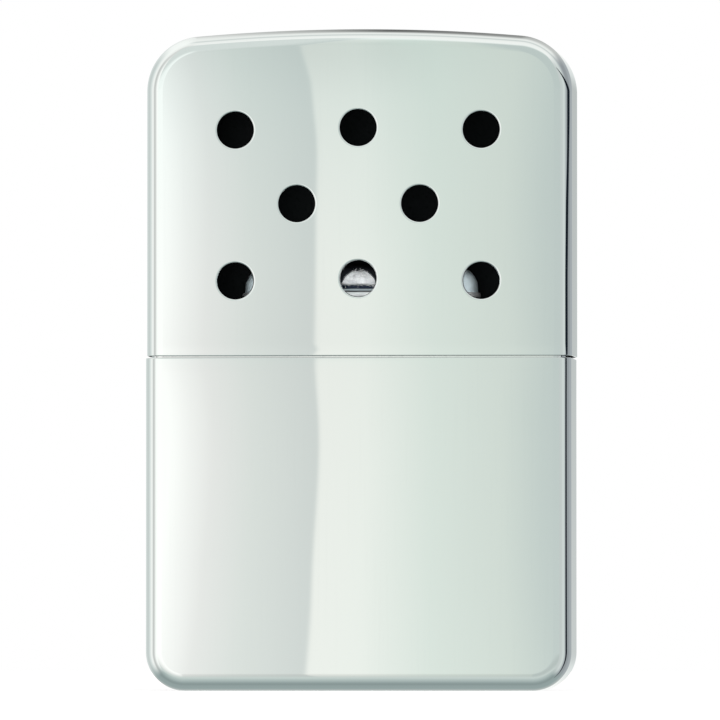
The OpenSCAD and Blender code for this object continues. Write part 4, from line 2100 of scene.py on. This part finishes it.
    def flag_route(self) -> list[tuple[float, float, float, float]]:
        """The flag's course, just off the right side from the foot to the lid's arch.

        Returns:
            For each step its place across, its height, and its front and rear edge along Y.
        """
        base, lid = Base(), Lid()
        radius = base.corner + self.flag_gap
        foot = base.arc(base.half_width - base.corner, base.corner, radius, -50, -2, 24)
        route = []
        for k, p in enumerate(foot):
            share = k / 25
            route.append((p.x, p.y, -6.24 - 0.19 * share, -6.16 + 0.3 * share))
        x = base.half_width + self.flag_gap
        low = lid.height + lid.inset - lid.arch
        top = low + math.sqrt((lid.arch - lid.corner) ** 2 - self.flag_inset**2)
        heights, fronts, rears = zip(*FLAG_EDGES)
        for k in range(41):
            z = base.corner + (top - base.corner) * k / 40
            front, rear = (float(np.interp(z, heights, edges)) for edges in (fronts, rears))
            route.append((x, z, front, rear))
        shoulder = lid.arc(lid.half_width - lid.corner, top, lid.corner + self.flag_gap, 2, 30, 14)
        for k, p in enumerate(shoulder, 1):
            share = k / 15
            route.append((p.x, p.y, -5.98 - 2.1 * share, -5.04 - 2.9 * share))
        return route

    def flag(self) -> None:
        """Hangs a thin dark flag along the right edge, which draws the dark line in it."""
        finish, sheet = blank_material("studio_flag")
        dark = (*tone(self.flag_level, (0.6, 0.85, 1.3)), 1.0)
        finish_with(sheet, sheet.node("ShaderNodeEmission", {}, {"Color": dark, "Strength": 1.0}))
        route = self.flag_route()
        places = [(x, y, z) for x, z, front, rear in route for y in (front, rear)]
        faces = [(2 * i, 2 * i + 1, 2 * i + 3, 2 * i + 2) for i in range(len(route) - 1)]
        self.staged("studio_flag", places, faces, finish)

    def world(self) -> None:
        """Makes the world: white to the camera, and soft panels all round to reflections."""
        world = bpy.data.worlds.new("studio_world")
        world.use_nodes = True
        bpy.context.scene.world = world
        sheet = NodeSheet(world.node_tree)
        x, y, z = sheet.axes(sheet.node("ShaderNodeTexCoord", out="Generated"))
        aside = (x * x + z * z) ** 0.5
        turn = aside.angle_with(-y) * (1 / math.pi)
        rings = (LEFT_RING, RIGHT_RING, UPPER_RING, LOWER_RING, CORNER_RING)
        left, right, upper, lower, corner = (sheet.ramp(turn, toned(r, *AHEAD_AND_BACK)) for r in rings)
        dusk = sheet.curve(turn, DUSK_AROUND, *AHEAD_AND_BACK)
        middle = sheet.curve(x + 0.5, DUSK_ACROSS, -0.5, 0.5)
        top = sheet.mix(x.smooth(-0.12, -0.4), upper, corner)
        top = sheet.mix(dusk * middle, top, tone(DUSK_LEVEL))
        rightward = x.smooth(-0.01, 0.01)
        sides = sheet.mix(rightward, left, right)
        centre = sheet.mix(z.smooth(-0.01, 0.0), lower, top)
        share = abs(x) / aside
        low = z.smooth(0.0, -0.15)
        leftward = share.smooth(0.58, 0.92) * (1 - low) + share.smooth(0.74, 0.98) * low
        sideward = leftward * (1 - rightward) + share.smooth(0.6, 0.87) * rightward
        around = sheet.mix(sideward, centre, sides)
        mirrored, soft, white = (
            sheet.node("ShaderNodeBackground", {}, {"Color": colour, "Strength": strength})
            for colour, strength in (
                (around, 1.0 / self.plate_shine),
                ((0.97, 1.0, 0.99, 1.0), 0.25),
                ((1.0, 1.0, 1.0, 1.0), 1.0),
            )
        )
        path = sheet.node("ShaderNodeLightPath").socket.node.outputs
        glossy, camera, passing = (
            Wire(sheet, path[name]) for name in ("Is Glossy Ray", "Is Camera Ray", "Is Transmission Ray")
        )
        lit = sheet.node("ShaderNodeMixShader", {}, {0: glossy, 1: soft, 2: mirrored})
        whole = sheet.node("ShaderNodeMixShader", {}, {0: camera + passing, 1: lit, 2: white})
        finish_with(sheet, whole, "ShaderNodeOutputWorld")

    def build(self) -> None:
        """Sets up the whole studio."""
        self.floor()
        self.card()
        self.back_card()
        self.flag()
        self.world()
        for lamp in self.lamps:
            lamp.build()
        LOG.info("the studio is set up")


# ---------------------------------------------------------------- the warmer


def dress_nodes(nodes: dict[str, bpy.types.Object], shelf: Shelf) -> None:
    """Gives the solids that stay their finishes.

    Args:
        nodes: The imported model's nodes.
        shelf: The finishes' materials.
    """
    kept = {
        "tank_deck": Finish.DECK,
        "neck_bridge": Finish.STRIP,
        "mat_carrier": Finish.STRIP,
    }
    for name, finish in kept.items():
        node = nodes[name]
        node.data.materials.clear()
        node.data.materials.append(shelf.of(finish))
        LOG.info("%s keeps its solid, in %s", name, finish.value.name)


def build_case(shelf: Shelf) -> None:
    """Builds the two shells, the collar and the neck.

    Args:
        shelf: The finishes' materials.
    """
    case = [shelf.of(Finish.CASE), shelf.of(SHADED_INSIDE)]
    settle(Base().build("base_case", case), "base", Finish.CASE, "base_shell")
    settle(Lid().build("lid_case", case), "lid", Finish.CASE, "lid_shell")
    settle(Collar().build(shelf.of(Finish.COLLAR)), "base", Finish.COLLAR, "inner_collar")
    settle(TankTop().build(shelf.of(Finish.NECK)), "base", Finish.NECK, "fuel_neck")


def build_packing(shelf: Shelf) -> None:
    """Builds the cotton and the wick pad.

    Args:
        shelf: The finishes' materials.
    """
    case = Base()
    inward = 1.23
    tank = case_path(case.half_width - inward, case.half_depth - inward, 3.0, 10, 20)
    lumps = {"lump": 0.5, "lump_size": 9.0}
    lower = Pad(tank, reach=0.0, foot=1.3, top=17.4, foot_round=3.0, top_round=1.2, **lumps, seed=11)
    upper = Pad(tank, reach=0.0, foot=17.6, top=33.9, foot_round=1.2, top_round=1.6, **lumps, seed=12)
    neck = oblong_path(TankTop().straight, 24, 24)
    lumps = {"lump": 0.12, "lump_size": 2.4}
    wick = Pad(neck, reach=3.18, foot=34.05, top=40.45, foot_round=0.4, top_round=0.45, **lumps, seed=13)
    for pad, name, finish, node, fill in (
        (lower, "cotton_bottom", Finish.COTTON, "cotton_lower", 0.5),
        (upper, "cotton_top", Finish.COTTON, "cotton_upper", 0.5),
        (wick, "wick_felt_pad", Finish.FELT, "wick_pad", 0.8),
    ):
        piece = pad.build(name, shelf.of(finish))
        settle(piece, "base", finish, node)


def build_burner(shelf: Shelf) -> None:
    """Builds the burner's skirt, cover and mat.

    Args:
        shelf: The finishes' materials.
    """
    burner = Burner()
    nickel = shelf.of(Finish.BURNER)
    settle(burner.skirt(nickel), "burner", Finish.BURNER, "burner_skirt")
    settle(burner.cover(shelf.of(HOOD)), "burner", Finish.BURNER, "burner_cover")
    glass = shelf.of(Finish.GLASS)
    mat = Pad(
        oblong_path(burner.straight, 40, 90),
        reach=4.0,
        foot=47.14,
        top=48.95,
        foot_round=0.2,
        top_round=1.4,
        lump=0.1,
        lump_size=1.1,
        seed=14,
        levels=6,
        bulge=0.42,
    )
    core = mat.build("mat_core", glass)
    strands = Strands().build(core, glass)
    settle(core, "burner", Finish.GLASS, "catalyst_mat")
    settle(strands, "burner", Finish.GLASS)


def main() -> None:
    """Builds everything in order."""
    logging.basicConfig(level=logging.INFO, format="%(message)s")
    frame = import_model()
    studio = Studio()
    studio.camera()
    shelf = Shelf()
    dress_nodes(frame["nodes"], shelf)
    build_case(shelf)
    build_packing(shelf)
    build_burner(shelf)
    studio.build()
    bpy.context.scene.view_settings.view_transform = "Standard"
    bpy.context.view_layer.update()


if __name__ == "__main__":
    main()
